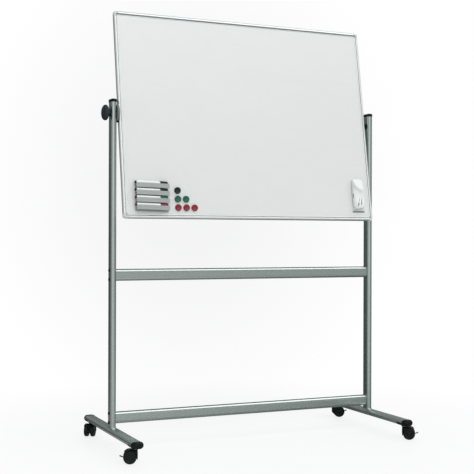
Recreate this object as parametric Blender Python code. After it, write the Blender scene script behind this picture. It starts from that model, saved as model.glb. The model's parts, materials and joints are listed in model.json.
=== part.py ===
"""Rolling, revolving whiteboard on a two-post stand with four braked twin-wheel casters.

Metres, +Z up. X runs along the board, the front of the board faces -Y, the floor is z = 0,
and the origin is on the floor, midway between the two posts.
"""

from math import cos, pi, radians, sin, sqrt

import bmesh
import bpy
from mathutils import Vector

# ---------------------------------------------------------------- driving dimensions
MM = 0.001
GAP = 0.3 * MM  # clearance left between neighbouring pieces

# board
BOARD_W = 1.200  # over the frame
BOARD_H = 0.900
FRAME_FACE = 18 * MM  # width of the frame seen from the front
FRAME_DEPTH = 22.4 * MM
FRAME_WEB = 2.0 * MM
CORNER = 21 * MM  # side of a corner piece
CORNER_R = 11 * MM
CORE_T = 13 * MM
SHEET_T = 1.0 * MM
BOARD_TILT = 9.5  # degrees, top leans back
PIVOT_Z = 1.409

# posts and cross rails: one flat-oval tube size
TUBE_W = 25 * MM
TUBE_D = 50 * MM
TUBE_WALL = 1.8 * MM
POST_X = 0.622
POST_TOP = 1.4582
CAP_H = 9 * MM
CAP_SKIRT = 4.5 * MM
RAIL_TOP = (0.7535, 0.1540)  # upper rail, lower rail
BOLT_DZ = 19 * MM  # bolt height above and below a rail's middle
BOLT_R = 3.0 * MM
BOLT_HOLE_R = 3.4 * MM

# feet
FOOT_W = 50 * MM
FOOT_H = 25 * MM
FOOT_Z = 0.0748
FOOT_WALL = 2.0 * MM
FOOT_TUBE_Y = 0.330  # half length of the tube
FOOT_END_Y = 0.356
CRADLE_Y = 0.289  # where the cap's cradle under the tube begins
CRADLE_T = 1.1 * MM
CASTER_Y = 0.312
BOSS_R = 12.5 * MM
BOSS_H = 4.5 * MM

# casters
WHEEL_R = 26.5 * MM  # to the flats of the tread
WHEEL_SIDES = 20
WHEEL_IN = 5.6 * MM  # inner face of a wheel from the caster's middle plane
WHEEL_OUT = 22.5 * MM
AXLE_R = 3.0 * MM
TRAIL = 21.5 * MM
HOOD_IN = 28.0 * MM
HOOD_OUT = 30.0 * MM
HOOD_HALF = 22.5 * MM
WEB_HALF = 4.6 * MM
NECK_R = 9.5 * MM
STEM_R = 5.5 * MM
STEM_TOP = 0.0813
BRAKE_X = TRAIL + 14 * MM  # brake lever's hinge
BRAKE_Z = 21 * MM
BRAKE_REACH = 32.4 * MM
BRAKE_RISE = 22  # degrees the free pedal points up
CASTER_YAW = {"left_front": 161.5, "left_rear": 240.0, "right_front": -33.0, "right_rear": -18.5}

# pivots
STUD_R = 5.0 * MM
STUD_HOLE_R = 5.4 * MM
DISC_R = 36 * MM
KNOB_R = 33 * MM

# magnetic accessories on the board, (across, up) from the board's middle
HOLDER = (-0.4715, -0.3570, 0.147, 0.130)
MARKER_V = (-0.3005, -0.3320, -0.3635, -0.3950)
MARKER_U = (-0.549, -0.404)
MARKER_R = 8.8 * MM
HOLDER_HANG = 1.6  # degrees, right end low
LIP_T = 1.4 * MM
LIP_DROP = 0.8 * MM  # top of each lip below its marker's axis
SKIRT_DROP = 19.8 * MM  # bottom of each lip's skirt below its marker's axis
MAGNET_R = 14.5 * MM
MAGNET_T = 8 * MM
MAGNET_PITCH = 37 * MM
MAGNET_UV = (-0.355, -0.3287)
ERASER = (0.5255, -0.329)
ERASER_SIZE = (0.054, 0.138, 0.032)

# ---------------------------------------------------------------- scene helpers
for old in list(bpy.data.objects):
    bpy.data.objects.remove(old)
SCENE = bpy.context.scene.collection


def material(name, colour, rough, metal=0.0):
    m = bpy.data.materials.new(name)
    m.use_nodes = True
    shader = m.node_tree.nodes["Principled BSDF"]
    shader.inputs["Base Color"].default_value = (*colour, 1)
    shader.inputs["Roughness"].default_value = rough
    shader.inputs["Metallic"].default_value = metal
    m.diffuse_color = (*colour, 1)
    return m


SILVER = material("silver_lacquered_tube", (0.47, 0.50, 0.49), 0.38, 0.75)
ALUMINIUM = material("anodised_aluminium", (0.74, 0.76, 0.76), 0.3, 0.9)
CORNER_GREY = material("corner_grey_plastic", (0.72, 0.74, 0.74), 0.4)
WHITE_STEEL = material("white_lacquered_steel", (0.86, 0.88, 0.875), 0.12)
CORE_BOARD = material("honeycomb_core", (0.62, 0.5, 0.36), 0.9)
BLACK = material("black_plastic", (0.012, 0.016, 0.017), 0.35)
TREAD = material("black_tyre", (0.02, 0.022, 0.022), 0.6)
BOLT_BLACK = material("black_bolt", (0.015, 0.018, 0.018), 0.3, 0.6)
STEEL = material("zinc_steel", (0.62, 0.63, 0.64), 0.3, 1.0)
DISC_GREY = material("grey_clutch_disc", (0.45, 0.47, 0.46), 0.45)
WHITE_PLASTIC = material("white_plastic", (0.88, 0.89, 0.89), 0.35)
HOLDER_GREY = material("holder_grey", (0.55, 0.58, 0.58), 0.45)
INK_BLACK = material("ink_black", (0.015, 0.02, 0.02), 0.35)
INK_GREEN = material("ink_green", (0.01, 0.22, 0.12), 0.35)
INK_RED = material("ink_red", (0.5, 0.02, 0.035), 0.35)


def finish(name, bm, mat, parent=None, where=None, smooth=35):
    """Turns a bmesh into a named object, faces out, smooth but for its sharp edges."""
    bmesh.ops.recalc_face_normals(bm, faces=bm.faces)
    mesh = bpy.data.meshes.new(name)
    bm.to_mesh(mesh)
    bm.free()
    mesh.shade_smooth()
    mesh.set_sharp_from_angle(angle=radians(smooth))
    obj = bpy.data.objects.new(name, mesh)
    SCENE.objects.link(obj)
    if mat:
        mesh.materials.append(mat)
    if parent:
        obj.parent = parent
    if where:
        obj.location = where
    return obj


def helper(obj):
    """A cutter, or a shape joined to another: not a piece of its own."""
    obj.hide_render = True
    obj.display_type = "WIRE"
    return obj


def boolean(obj, other, operation):
    other.parent = obj.parent
    mod = obj.modifiers.new(operation.lower() + "_" + other.name, "BOOLEAN")
    mod.operation = operation
    mod.object = helper(other)
    mod.solver = "EXACT"


def empty(name, where, parent=None, rotation=(0, 0, 0)):
    e = bpy.data.objects.new(name, None)
    SCENE.objects.link(e)
    e.location = where
    e.rotation_euler = rotation
    e.parent = parent
    return e


# ---------------------------------------------------------------- shape helpers
def stadium(w, d, steps=8):
    """Flat oval, w across (first axis) and d long (second axis), counter-clockwise."""
    r, s = w / 2, max(d / 2 - w / 2, 0.0)
    pts = []
    for k in range(steps + 1):
        a = pi * k / steps
        pts.append((r * cos(a), s + r * sin(a)))
    for k in range(steps + 1):
        a = pi + pi * k / steps
        pts.append((r * cos(a), -s + r * sin(a)))
    return pts


def ring(bm, points):
    return [bm.verts.new(p) for p in points]


def skin(bm, a, b):
    n = len(a)
    for k in range(n):
        bm.faces.new((a[k], a[(k + 1) % n], b[(k + 1) % n], b[k]))


def loft(bm, rings, close_ends=True):
    made = [ring(bm, r) for r in rings]
    for a, b in zip(made, made[1:]):
        skin(bm, a, b)
    if close_ends:
        bm.faces.new(made[0])
        bm.faces.new(made[-1])
    return made


def tube(bm, outer, inner):
    """A hollow, open tube from two lists of rings that run the same way."""
    o = loft(bm, outer, False)
    i = loft(bm, inner, False)
    skin(bm, o[0], i[0])
    skin(bm, o[-1], i[-1])


def prism(bm, outline, lo, hi, axis):
    """A closed prism: outline in the two axes that follow `axis`, from lo to hi along it."""

    def place(p, t):
        v = [0.0, 0.0, 0.0]
        v[axis] = t
        v[(axis + 1) % 3], v[(axis + 2) % 3] = p
        return v

    loft(bm, [[place(p, lo) for p in outline], [place(p, hi) for p in outline]])


def cylinder(bm, r, lo, hi, axis, centre=(0, 0), sides=16, turn=0.5):
    prism(
        bm,
        [
            (
                centre[0] + r * cos(2 * pi * (k + turn) / sides),
                centre[1] + r * sin(2 * pi * (k + turn) / sides),
            )
            for k in range(sides)
        ],
        lo,
        hi,
        axis,
    )


def lathe(bm, profile, sides, axis, turn=0.0, wave=None):
    """Turns (radius, height) points round an axis. End points of radius 0 are poles."""

    def place(r, h, k):
        a = 2 * pi * (k + turn) / sides
        rr = r * (wave(k) if wave else 1.0)
        v = [0.0, 0.0, 0.0]
        v[axis] = h
        v[(axis + 1) % 3], v[(axis + 2) % 3] = rr * cos(a), rr * sin(a)
        return v

    rings = []
    for r, h in profile:
        if r < 1e-9:
            v = [0.0, 0.0, 0.0]
            v[axis] = h
            rings.append([bm.verts.new(v)])
        else:
            rings.append(ring(bm, [place(r, h, k) for k in range(sides)]))
    for a, b in zip(rings, rings[1:]):
        if len(a) == 1:
            for k in range(sides):
                bm.faces.new((a[0], b[k], b[(k + 1) % sides]))
        elif len(b) == 1:
            for k in range(sides):
                bm.faces.new((a[k], b[0], a[(k + 1) % sides]))
        else:
            skin(bm, a, b)
    if len(rings[0]) > 1:
        bm.faces.new(rings[0])
    if len(rings[-1]) > 1:
        bm.faces.new(rings[-1])


def block(bm, lo, hi):
    lo, hi = Vector(lo), Vector(hi)
    verts = [
        [bm.verts.new((x, y, z)) for x, y in ((lo.x, lo.y), (hi.x, lo.y), (hi.x, hi.y), (lo.x, hi.y))]
        for z in (lo.z, hi.z)
    ]
    skin(bm, *verts)
    bm.faces.new(verts[0])
    bm.faces.new(verts[1])


# ---------------------------------------------------------------- posts
def bore_x(name, r, y, z, x0, x1, sides=12):
    bm = bmesh.new()
    cylinder(bm, r, x0, x1, 0, (y, z), sides)
    return finish(name, bm, None)


FOOT_TOP = FOOT_Z + FOOT_H / 2
BOLT_Z = [top - TUBE_D / 2 + s * BOLT_DZ for top in RAIL_TOP for s in (1, -1)]
POST_FLARE = ((0, 3.4), (2.2, 1.2), (8, 0.0))  # height, spread in mm


def post(name, x):
    base = FOOT_TOP + GAP

    def at(z, grow):
        return [(px, py, z) for px, py in stadium(TUBE_W + grow, TUBE_D + grow)]

    bm = bmesh.new()
    outer = [at(base + h * MM, 2 * s * MM) for h, s in POST_FLARE] + [at(POST_TOP, 0)]
    inner = [at(base, -2 * TUBE_WALL), at(POST_TOP, -2 * TUBE_WALL)]
    tube(bm, outer, inner)
    obj = finish(name, bm, SILVER, where=(x, 0, 0))
    bm = bmesh.new()
    half = TUBE_W
    for z in BOLT_Z:
        cylinder(bm, BOLT_HOLE_R, -half, half, 0, (0, z), 8)
    cylinder(bm, STUD_HOLE_R, -half, half, 0, (0, PIVOT_Z), 12)
    boolean(obj, finish(name + "_bores", bm, None, where=(x, 0, 0)), "DIFFERENCE")
    return obj


def post_cap(name, x):
    """Pressed-in top plug with a low crown and a short skirt round the outside of the tube."""
    plug = -2 * TUBE_WALL - 2 * GAP
    z = POST_TOP
    rows = (
        (z - 18 * MM, plug - 1 * MM),
        (z - 16 * MM, plug),
        (z + GAP, plug),
        (z + GAP, 2 * GAP),
        (z - CAP_SKIRT, 2 * GAP),
        (z - CAP_SKIRT, 2.2 * MM),
        (z + 5 * MM, 2.2 * MM),
        (z + 7.6 * MM, -1.2 * MM),
        (z + CAP_H, -7 * MM),
    )
    bm = bmesh.new()
    loft(bm, [[(px, py, h) for px, py in stadium(TUBE_W + g, TUBE_D + g)] for h, g in rows])
    return finish(name, bm, BLACK, where=(x, 0, 0))


for side, sx in (("left", -1), ("right", 1)):
    post(f"{side}_upright", sx * POST_X)
    post_cap(f"{side}_upright_cap", sx * POST_X)


# ---------------------------------------------------------------- cross rails and their bolts
RAIL_END = POST_X - TUBE_W / 2 - GAP


def rail(name, top):
    """Extruded rail: flat oval, one middle chamber and two screw channels."""
    z = top - TUBE_D / 2
    bm = bmesh.new()
    prism(bm, stadium(TUBE_W, TUBE_D), -RAIL_END, RAIL_END, 0)
    obj = finish(name, bm, SILVER, where=(0, 0, z))
    bm = bmesh.new()
    long = RAIL_END + 0.02
    w, h = TUBE_W / 2 - TUBE_WALL, 12 * MM
    prism(bm, [(w, -h), (w, h), (-w, h), (-w, -h)], -long, long, 0)
    for s in (1, -1):
        cylinder(bm, BOLT_HOLE_R, -long, long, 0, (0, s * BOLT_DZ), 8)
    boolean(obj, finish(name + "_chambers", bm, None, where=(0, 0, z)), "DIFFERENCE")
    return obj


def rail_bolt(name, sx, z):
    """Low dome head outside the post, shank through it and into the rail's screw channel."""
    out = POST_X + TUBE_W / 2 + GAP
    profile = (
        (0, out + 4.2 * MM),
        (5.2 * MM, out + 3.0 * MM),
        (7.0 * MM, out),
        (BOLT_R, out),
        (BOLT_R, out - 46 * MM),
        (0, out - 46 * MM),
    )
    bm = bmesh.new()
    lathe(bm, [(r, sx * h) for r, h in profile], 8, 0, 0.5)
    return finish(name, bm, BOLT_BLACK, where=(0, 0, z))


for level, top in zip(("upper", "lower"), RAIL_TOP):
    rail(f"{level}_rail", top)
    for side, sx in (("left", -1), ("right", 1)):
        for place, s in (("top", 1), ("bottom", -1)):
            rail_bolt(f"{level}_rail_bolt_{side}_{place}", sx, top - TUBE_D / 2 + s * BOLT_DZ)


# ---------------------------------------------------------------- feet
def foot_section(w, h, y):
    return [(px, y, pz) for pz, px in stadium(h, w, 6)]


def foot(name, x):
    bm = bmesh.new()
    ys = (-FOOT_TUBE_Y, FOOT_TUBE_Y)
    t = 2 * FOOT_WALL
    tube(
        bm,
        [foot_section(FOOT_W, FOOT_H, y) for y in ys],
        [foot_section(FOOT_W - t, FOOT_H - t, y) for y in ys],
    )
    obj = finish(name, bm, SILVER, where=(x, 0, FOOT_Z))
    bm = bmesh.new()
    for sy in (-1, 1):
        cylinder(bm, STEM_R + 1 * MM, -FOOT_H, -FOOT_H / 4, 2, (0, sy * CASTER_Y), 12)
    boolean(obj, finish(name + "_stem_holes", bm, None, where=(x, 0, FOOT_Z)), "DIFFERENCE")
    return obj


def foot_cap(name, x, sy):
    """Moulded end of a foot: a tongue inside the tube, a rounded nose, and a cradle under the tube with the caster's socket."""
    start, end = FOOT_TUBE_Y + GAP, FOOT_END_Y
    t = 2 * FOOT_WALL + 2 * GAP
    grow = 2 * CRADLE_T
    rows = [
        (CRADLE_Y + 1 * MM, FOOT_W - t - 1.4 * MM, FOOT_H - t),
        (start, FOOT_W - t - 1.4 * MM, FOOT_H - t),
        (start, FOOT_W + grow, FOOT_H + grow),
    ]
    nose = end - start - 1.5 * MM
    for a in (0, 32, 58, 78):
        y = end - nose + nose * sin(radians(a))
        c = cos(radians(a))
        w = (FOOT_W + grow) * (0.14 + 0.86 * c)
        h = min((FOOT_H + grow) * (0.5 + 0.5 * sqrt(c)), w * 0.98)
        rows.append((y, w, h))
    bm = bmesh.new()
    loft(bm, [foot_section(w, h, sy * y) for y, w, h in rows])
    obj = finish(name, bm, BLACK, where=(x, 0, FOOT_Z))
    # cradle: the lower half of a shell round the tube
    out, inn = [], []
    for k in range(4):
        a = pi + pi / 2 * k / 3
        ca, sa = cos(a), sin(a)
        side = FOOT_W / 2 - FOOT_H / 2
        for pts, r in ((out, FOOT_H / 2 + CRADLE_T - 0.15 * MM), (inn, FOOT_H / 2 + GAP)):
            pts.append((-side + r * ca, r * sa))
    half = lambda pts: pts + [(-px, pz) for px, pz in reversed(pts)]
    outline = half(out) + list(reversed(half(inn)))
    bm = bmesh.new()
    loft(bm, [[(px, sy * y, pz) for px, pz in outline] for y in (CRADLE_Y, start + 1 * MM)])
    boolean(obj, finish(name + "_cradle", bm, None, where=(x, 0, FOOT_Z)), "UNION")
    bm = bmesh.new()
    cylinder(bm, BOSS_R, -FOOT_H / 2 - BOSS_H, -FOOT_H / 2 - 0.7 * MM, 2, (0, sy * CASTER_Y), 14)
    boolean(obj, finish(name + "_boss", bm, None, where=(x, 0, FOOT_Z)), "UNION")
    bm = bmesh.new()
    cylinder(bm, STEM_R + 0.3 * MM, -FOOT_H / 2 - BOSS_H - 5 * MM, STEM_TOP + 0.6 * MM - FOOT_Z, 2, (0, sy * CASTER_Y), 12)
    boolean(obj, finish(name + "_socket", bm, None, where=(x, 0, FOOT_Z)), "DIFFERENCE")
    return obj


for side, sx in (("left", -1), ("right", 1)):
    foot(f"{side}_foot", sx * POST_X)
    for end, sy in (("front", -1), ("rear", 1)):
        foot_cap(f"{side}_{end}_foot_cap", sx * POST_X, sy)


# ---------------------------------------------------------------- casters
def arc(r, a0, a1, steps, cx=0.0, cz=0.0):
    return [
        (cx + r * cos(radians(a0 + (a1 - a0) * k / steps)), cz + r * sin(radians(a0 + (a1 - a0) * k / steps)))
        for k in range(steps + 1)
    ]


def side_prism(bm, outline_xz, half, lo=None):
    """Prism across the caster: outline in (x, z), thickness along y."""
    prism(bm, [(z, x) for x, z in outline_xz], -half if lo is None else lo, half, 1)


def caster(side, end, x, y):
    key = f"{side}_{end}"
    turn = empty(f"{key}_swivel", (x, y, 0), rotation=(0, 0, radians(CASTER_YAW[key])))
    neck_top = FOOT_Z - FOOT_H / 2 - BOSS_H - GAP

    # housing: fender over both wheels
    bm = bmesh.new()
    fender = (
        arc(HOOD_OUT, 42, 105, 4, TRAIL, WHEEL_R)
        + [(-4.5 * MM, 53.5 * MM), (-8.8 * MM, 50.0 * MM), (-9.8 * MM, 41 * MM), (-8.4 * MM, 17 * MM)]
        + arc(HOOD_IN, 200, 42, 9, TRAIL, WHEEL_R)
    )
    side_prism(bm, fender, HOOD_HALF)
    housing = finish(f"caster_{key}_housing", bm, BLACK, turn)
    # web between the wheels, with the brake lever's fork
    bm = bmesh.new()
    web = (
        arc(HOOD_IN + 1 * MM, 46, 196, 6, TRAIL, WHEEL_R)
        + arc(8 * MM, 205, 285, 2, TRAIL, WHEEL_R)
        + arc(5.6 * MM, -95, 45, 4, BRAKE_X, BRAKE_Z)
    )
    side_prism(bm, web, WEB_HALF)
    boolean(housing, finish(f"{key}_web", bm, None), "UNION")
    # neck and stem
    bm = bmesh.new()
    lathe(
        bm,
        (
            (0, 52 * MM),
            (NECK_R, 52 * MM),
            (NECK_R, neck_top),
            (STEM_R, neck_top),
            (STEM_R, STEM_TOP - 1.5 * MM),
            (STEM_R - 1.5 * MM, STEM_TOP),
            (0, STEM_TOP),
        ),
        12,
        2,
    )
    boolean(housing, finish(f"{key}_stem", bm, None), "UNION")
    # axle bore, and the slot that the lever swings in
    bm = bmesh.new()
    cylinder(bm, AXLE_R + 0.35 * MM, -8 * MM, 8 * MM, 1, (WHEEL_R, TRAIL), 12)
    boolean(housing, finish(f"{key}_axle_bore", bm, None), "DIFFERENCE")
    bm = bmesh.new()
    slot = arc(5.0 * MM, 90, 270, 4, BRAKE_X, BRAKE_Z) + [
        (BRAKE_X + 14 * MM, BRAKE_Z - 5.0 * MM),
        (BRAKE_X + 14 * MM, BRAKE_Z + 14 * MM),
        (BRAKE_X + 2 * MM, BRAKE_Z + 7.5 * MM),
    ]
    side_prism(bm, slot, 2.7 * MM)
    boolean(housing, finish(f"{key}_slot", bm, None), "DIFFERENCE")
    bm = bmesh.new()
    cylinder(bm, 1.5 * MM, -3.6 * MM, 3.6 * MM, 1, (BRAKE_Z, BRAKE_X), 8)
    boolean(housing, finish(f"{key}_pin", bm, None), "UNION")

    # wheels and axle, one turned piece; a flat of the tread stands on the floor
    spin = empty(f"{key}_axle", (TRAIL, 0, WHEEL_R), turn)
    k = 1 / cos(pi / WHEEL_SIDES)
    half = (
        (0, WHEEL_OUT - 1.0 * MM),
        (18.5 * MM, WHEEL_OUT - 2.4 * MM),
        (21.5 * MM, WHEEL_OUT),
        (WHEEL_R, WHEEL_OUT - 2.4 * MM),
        (WHEEL_R, WHEEL_IN + 2.0 * MM),
        (24.2 * MM, WHEEL_IN),
        (AXLE_R / k, WHEEL_IN),
    )
    profile = [(r * k, h) for r, h in half] + [(r * k, -h) for r, h in reversed(half)]
    bm = bmesh.new()
    lathe(bm, profile, WHEEL_SIDES, 1, 0.5)
    finish(f"caster_{key}_wheels", bm, TREAD, spin)

    # brake lever: eye on the fork's pin, arm between the wheels, broad pedal outside them
    hinge = empty(f"{key}_brake_hinge", (BRAKE_X, 0, BRAKE_Z), turn, (0, -radians(BRAKE_RISE), 0))
    bm = bmesh.new()
    arm = arc(4.2 * MM, 20, 340, 7) + [(16.5 * MM, -1.4 * MM), (16.5 * MM, 1.4 * MM)]
    side_prism(bm, arm, 2.2 * MM)
    lever = finish(f"caster_{key}_brake_lever", bm, BLACK, hinge)
    bm = bmesh.new()
    tip = BRAKE_REACH
    pedal = [(15 * MM, 5 * MM), (18 * MM, 7 * MM), (tip - 4 * MM, 7 * MM), (tip, 3.5 * MM)]
    pedal += [(px, -py) for px, py in reversed(pedal)]
    loft(bm, [[(px, py, z) for px, py in pedal] for z in (-1.3 * MM, 1.3 * MM)])
    boolean(lever, finish(f"{key}_pedal", bm, None), "UNION")
    bm = bmesh.new()
    cylinder(bm, 1.9 * MM, -4 * MM, 4 * MM, 1, (0, 0), 8)
    boolean(lever, finish(f"{key}_eye", bm, None), "DIFFERENCE")


for side, sx in (("left", -1), ("right", 1)):
    for end, sy in (("front", -1), ("rear", 1)):
        caster(side, end, sx * POST_X, sy * CASTER_Y)


# ---------------------------------------------------------------- board
# Children of this empty are in the board's own axes: x across, -y out of the front, z up the board.
BOARD = empty("board_pivot", (0, 0, PIVOT_Z), rotation=(-radians(BOARD_TILT), 0, 0))
HALF_W, HALF_H = BOARD_W / 2, BOARD_H / 2
PANEL_W, PANEL_H = HALF_W - FRAME_WEB - GAP, HALF_H - FRAME_WEB - GAP
CORE_HALF = CORE_T / 2
SHEET_IN = CORE_HALF + GAP
SHEET_OUT = SHEET_IN + SHEET_T
SLOT_HALF = SHEET_OUT + GAP  # half the channel's mouth


def stud_hole(name, sx):
    bm = bmesh.new()
    lo, hi = sorted((sx * (HALF_W - 18 * MM), sx * (HALF_W + 10 * MM)))
    cylinder(bm, STUD_HOLE_R, lo, hi, 0, (0, 0), 16)
    return finish(name, bm, None, BOARD)


bm = bmesh.new()
block(bm, (-PANEL_W, -CORE_HALF, -PANEL_H), (PANEL_W, CORE_HALF, PANEL_H))
core = finish("board_core", bm, CORE_BOARD, BOARD)
bm = bmesh.new()
for sx in (-1, 1):
    lo, hi = sorted((sx * (PANEL_W - 16 * MM), sx * (PANEL_W + 10 * MM)))
    cylinder(bm, STUD_HOLE_R, lo, hi, 0, (0, 0), 16)
boolean(core, finish("core_stud_holes", bm, None, BOARD), "DIFFERENCE")
for name, sy in (("front", -1), ("rear", 1)):
    lo, hi = sorted((sy * SHEET_IN, sy * SHEET_OUT))
    bm = bmesh.new()
    block(bm, (-PANEL_W, lo, -PANEL_H), (PANEL_W, hi, PANEL_H))
    finish(f"board_{name}_sheet", bm, WHITE_STEEL, BOARD)


def channel_section():
    """U-section: (distance in from the outer edge, depth), mouth inwards, convex faces."""
    d = FRAME_DEPTH / 2
    face = ((0, 5.2), (0.9, 2.6), (3.6, 0.7), (8.0, 0.0), (12.4, 0.5), (15.8, 1.5), (17.4, 2.4))
    front = [(p * MM, -(d - q * MM)) for p, q in face]
    back = [(p, -q) for p, q in reversed(front)]
    s, f = SLOT_HALF, FRAME_FACE
    return back + front + [(f, -s - 0.4 * MM), (f, -s), (FRAME_WEB, -s), (FRAME_WEB, s), (f, s), (f, s + 0.4 * MM)]


def frame_profile(name, edge):
    section = channel_section()
    bm = bmesh.new()
    if edge in ("top", "bottom"):
        s = 1 if edge == "top" else -1
        long = HALF_W - CORNER - GAP
        loft(bm, [[(t, q, s * (HALF_H - p)) for p, q in section] for t in (-long, long)])
    else:
        s = 1 if edge == "right" else -1
        long = HALF_H - CORNER - GAP
        loft(bm, [[(s * (HALF_W - p), q, t) for p, q in section] for t in (-long, long)])
    obj = finish(name, bm, ALUMINIUM, BOARD)
    if edge in ("left", "right"):
        boolean(obj, stud_hole(name + "_stud_hole", s), "DIFFERENCE")
    return obj


for edge in ("top", "bottom", "left", "right"):
    frame_profile(f"frame_{edge}_profile", edge)


def corner_piece(name, sx, sz):
    """Rounded corner cap: closed outside, pocketed for the panel's corner."""
    r = CORNER_R
    outline = [(0, 0), (CORNER, 0)]
    outline += arc(r, 0, 90, 3, CORNER - r, CORNER - r)
    outline += [(0, CORNER)]

    def at(inset, y):
        f = (CORNER - inset) / CORNER
        return [(sx * (HALF_W - CORNER + p * f), y, sz * (HALF_H - CORNER + q * f)) for p, q in outline]

    d = FRAME_DEPTH / 2 + 0.25 * MM
    bm = bmesh.new()
    rows = ((6.5, 0.0), (3.2, 0.7), (0.8, 2.6), (0.0, 5.2))
    loft(bm, [at(i * MM, -d + q * MM) for i, q in rows] + [at(i * MM, d - q * MM) for i, q in reversed(rows)])
    obj = finish(name, bm, CORNER_GREY, BOARD, smooth=50)
    bm = bmesh.new()
    x0, x1 = sorted((sx * (HALF_W - CORNER - 5 * MM), sx * (HALF_W - FRAME_WEB)))
    z0, z1 = sorted((sz * (HALF_H - CORNER - 5 * MM), sz * (HALF_H - FRAME_WEB)))
    block(bm, (x0, -SLOT_HALF, z0), (x1, SLOT_HALF, z1))
    boolean(obj, finish(name + "_pocket", bm, None, BOARD), "DIFFERENCE")
    return obj


# The panel's own corners are cut back so that they clear the rounded corner caps.
for name in ("board_core", "board_front_sheet", "board_rear_sheet"):
    bm = bmesh.new()
    for sx in (-1, 1):
        for sz in (-1, 1):
            c = 7 * MM
            px, pz = sx * PANEL_W, sz * PANEL_H
            tri = [(px - sx * c, pz + sz * 1 * MM), (px + sx * 1 * MM, pz + sz * 1 * MM), (px + sx * 1 * MM, pz - sz * c)]
            loft(bm, [[(p, y, q) for p, q in tri] for y in (-0.03, 0.03)])
    boolean(bpy.data.objects[name], finish(name + "_corner_cuts", bm, None, BOARD), "DIFFERENCE")

for vertical, sz in (("top", 1), ("bottom", -1)):
    for side, sx in (("left", -1), ("right", 1)):
        corner_piece(f"frame_corner_{vertical}_{side}", sx, sz)

# ---------------------------------------------------------------- pivots
POST_IN, POST_OUT = POST_X - TUBE_W / 2, POST_X + TUBE_W / 2

# left: clutch disc against the post, threaded stud, and the hand knob outside
bm = bmesh.new()
d0, d1 = HALF_W + GAP, POST_IN - 0.5 * MM
lathe(
    bm,
    [(STUD_HOLE_R, -d0), (DISC_R - 1.5 * MM, -d0), (DISC_R, -d0 - 1.2 * MM), (DISC_R, -d1 + 1.2 * MM), (DISC_R - 1.5 * MM, -d1), (STUD_HOLE_R, -d1)],
    20,
    0,
)
disc = finish("left_clutch_disc", bm, DISC_GREY, BOARD)
bm = bmesh.new()
cylinder(bm, STUD_HOLE_R, -d1 - 5 * MM, -d0 + 5 * MM, 0, (0, 0), 12)
boolean(disc, finish("disc_bore", bm, None, BOARD), "DIFFERENCE")

bm = bmesh.new()
cylinder(bm, STUD_R, -(POST_OUT + 24 * MM), -(HALF_W - 16 * MM), 0, (0, 0), 16)
finish("left_pivot_stud", bm, STEEL, BOARD)

KNOB = empty("knob_axis", (0, 0, 0), BOARD)
kx = POST_OUT + 0.8 * MM
knob_profile = (
    (14.5 * MM, kx),
    (14.5 * MM, kx + 6.5 * MM),
    (KNOB_R - 2.5 * MM, kx + 8.0 * MM),
    (KNOB_R, kx + 10.5 * MM),
    (KNOB_R, kx + 20.0 * MM),
    (KNOB_R - 4.0 * MM, kx + 26.5 * MM),
    (20 * MM, kx + 31.5 * MM),
    (0, kx + 33.5 * MM),
)
bm = bmesh.new()
lathe(bm, [(r, -h) for r, h in knob_profile], 20, 0)
knob = finish("clamp_knob", bm, BLACK, KNOB)
bm = bmesh.new()
cylinder(bm, STUD_R + 0.4 * MM, -(POST_OUT + 25 * MM), -(POST_OUT - 5 * MM), 0, (0, 0), 16)
boolean(knob, finish("knob_bore", bm, None, KNOB), "DIFFERENCE")

# right: plain stud with a button head outside the post, and a spacer bush inside
bm = bmesh.new()
lathe(
    bm,
    (
        (0, HALF_W - 16 * MM),
        (STUD_R, HALF_W - 16 * MM),
        (STUD_R, POST_OUT + 0.8 * MM),
        (9 * MM, POST_OUT + 0.8 * MM),
        (9 * MM, POST_OUT + 3.5 * MM),
        (6.5 * MM, POST_OUT + 5.6 * MM),
        (0, POST_OUT + 6.2 * MM),
    ),
    16,
    0,
)
finish("right_pivot_stud", bm, BOLT_BLACK, BOARD)
bm = bmesh.new()
b0, b1 = HALF_W + GAP, POST_IN - 0.5 * MM
cylinder(bm, 13 * MM, b0, b1, 0, (0, 0), 20)
bush = finish("right_spacer_bush", bm, BLACK, BOARD)
bm = bmesh.new()
cylinder(bm, STUD_HOLE_R, b0 - 5 * MM, b1 + 5 * MM, 0, (0, 0), 16)
boolean(bush, finish("bush_bore", bm, None, BOARD), "DIFFERENCE")

# ---------------------------------------------------------------- accessories held on the front sheet
FACE = SHEET_OUT + GAP  # back of anything that sits on the front sheet

# The holder and the markers in it hang a little askew.
hu, hv, hw, hh = HOLDER
RACK = empty("holder_hang", (hu, 0, hv), BOARD, (0, radians(HOLDER_HANG), 0))
bm = bmesh.new()
plate = [(-hw / 2, -hh / 2), (hw / 2, -hh / 2), (hw / 2, hh / 2), (-hw / 2, hh / 2)]
loft(bm, [[(p, -y, q) for p, q in plate] for y in (FACE, FACE + 2.2 * MM)])
holder = finish("marker_holder", bm, HOLDER_GREY, RACK)
bm = bmesh.new()
MARKER_N = FACE + 2.2 * MM + GAP + MARKER_R
lip_in = MARKER_N + MARKER_R + GAP
for v in MARKER_V:
    # a ledge under each marker, with a front wall that covers its lower half and hangs below it
    z1, z2 = v - hv - MARKER_R - GAP, v - hv - LIP_DROP
    z0 = z1 - 2.2 * MM
    zs = v - hv - SKIRT_DROP
    section = [(FACE + 1 * MM, z0), (lip_in, z0), (lip_in, zs), (lip_in + LIP_T, zs), (lip_in + LIP_T, z2), (lip_in, z2), (lip_in, z1), (FACE + 1 * MM, z1)]
    loft(bm, [[(t, -q, z) for q, z in section] for t in (-hw / 2 + 0.6 * MM, hw / 2 - 0.6 * MM)])
boolean(holder, finish("holder_ledges", bm, None, RACK), "UNION")

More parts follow.
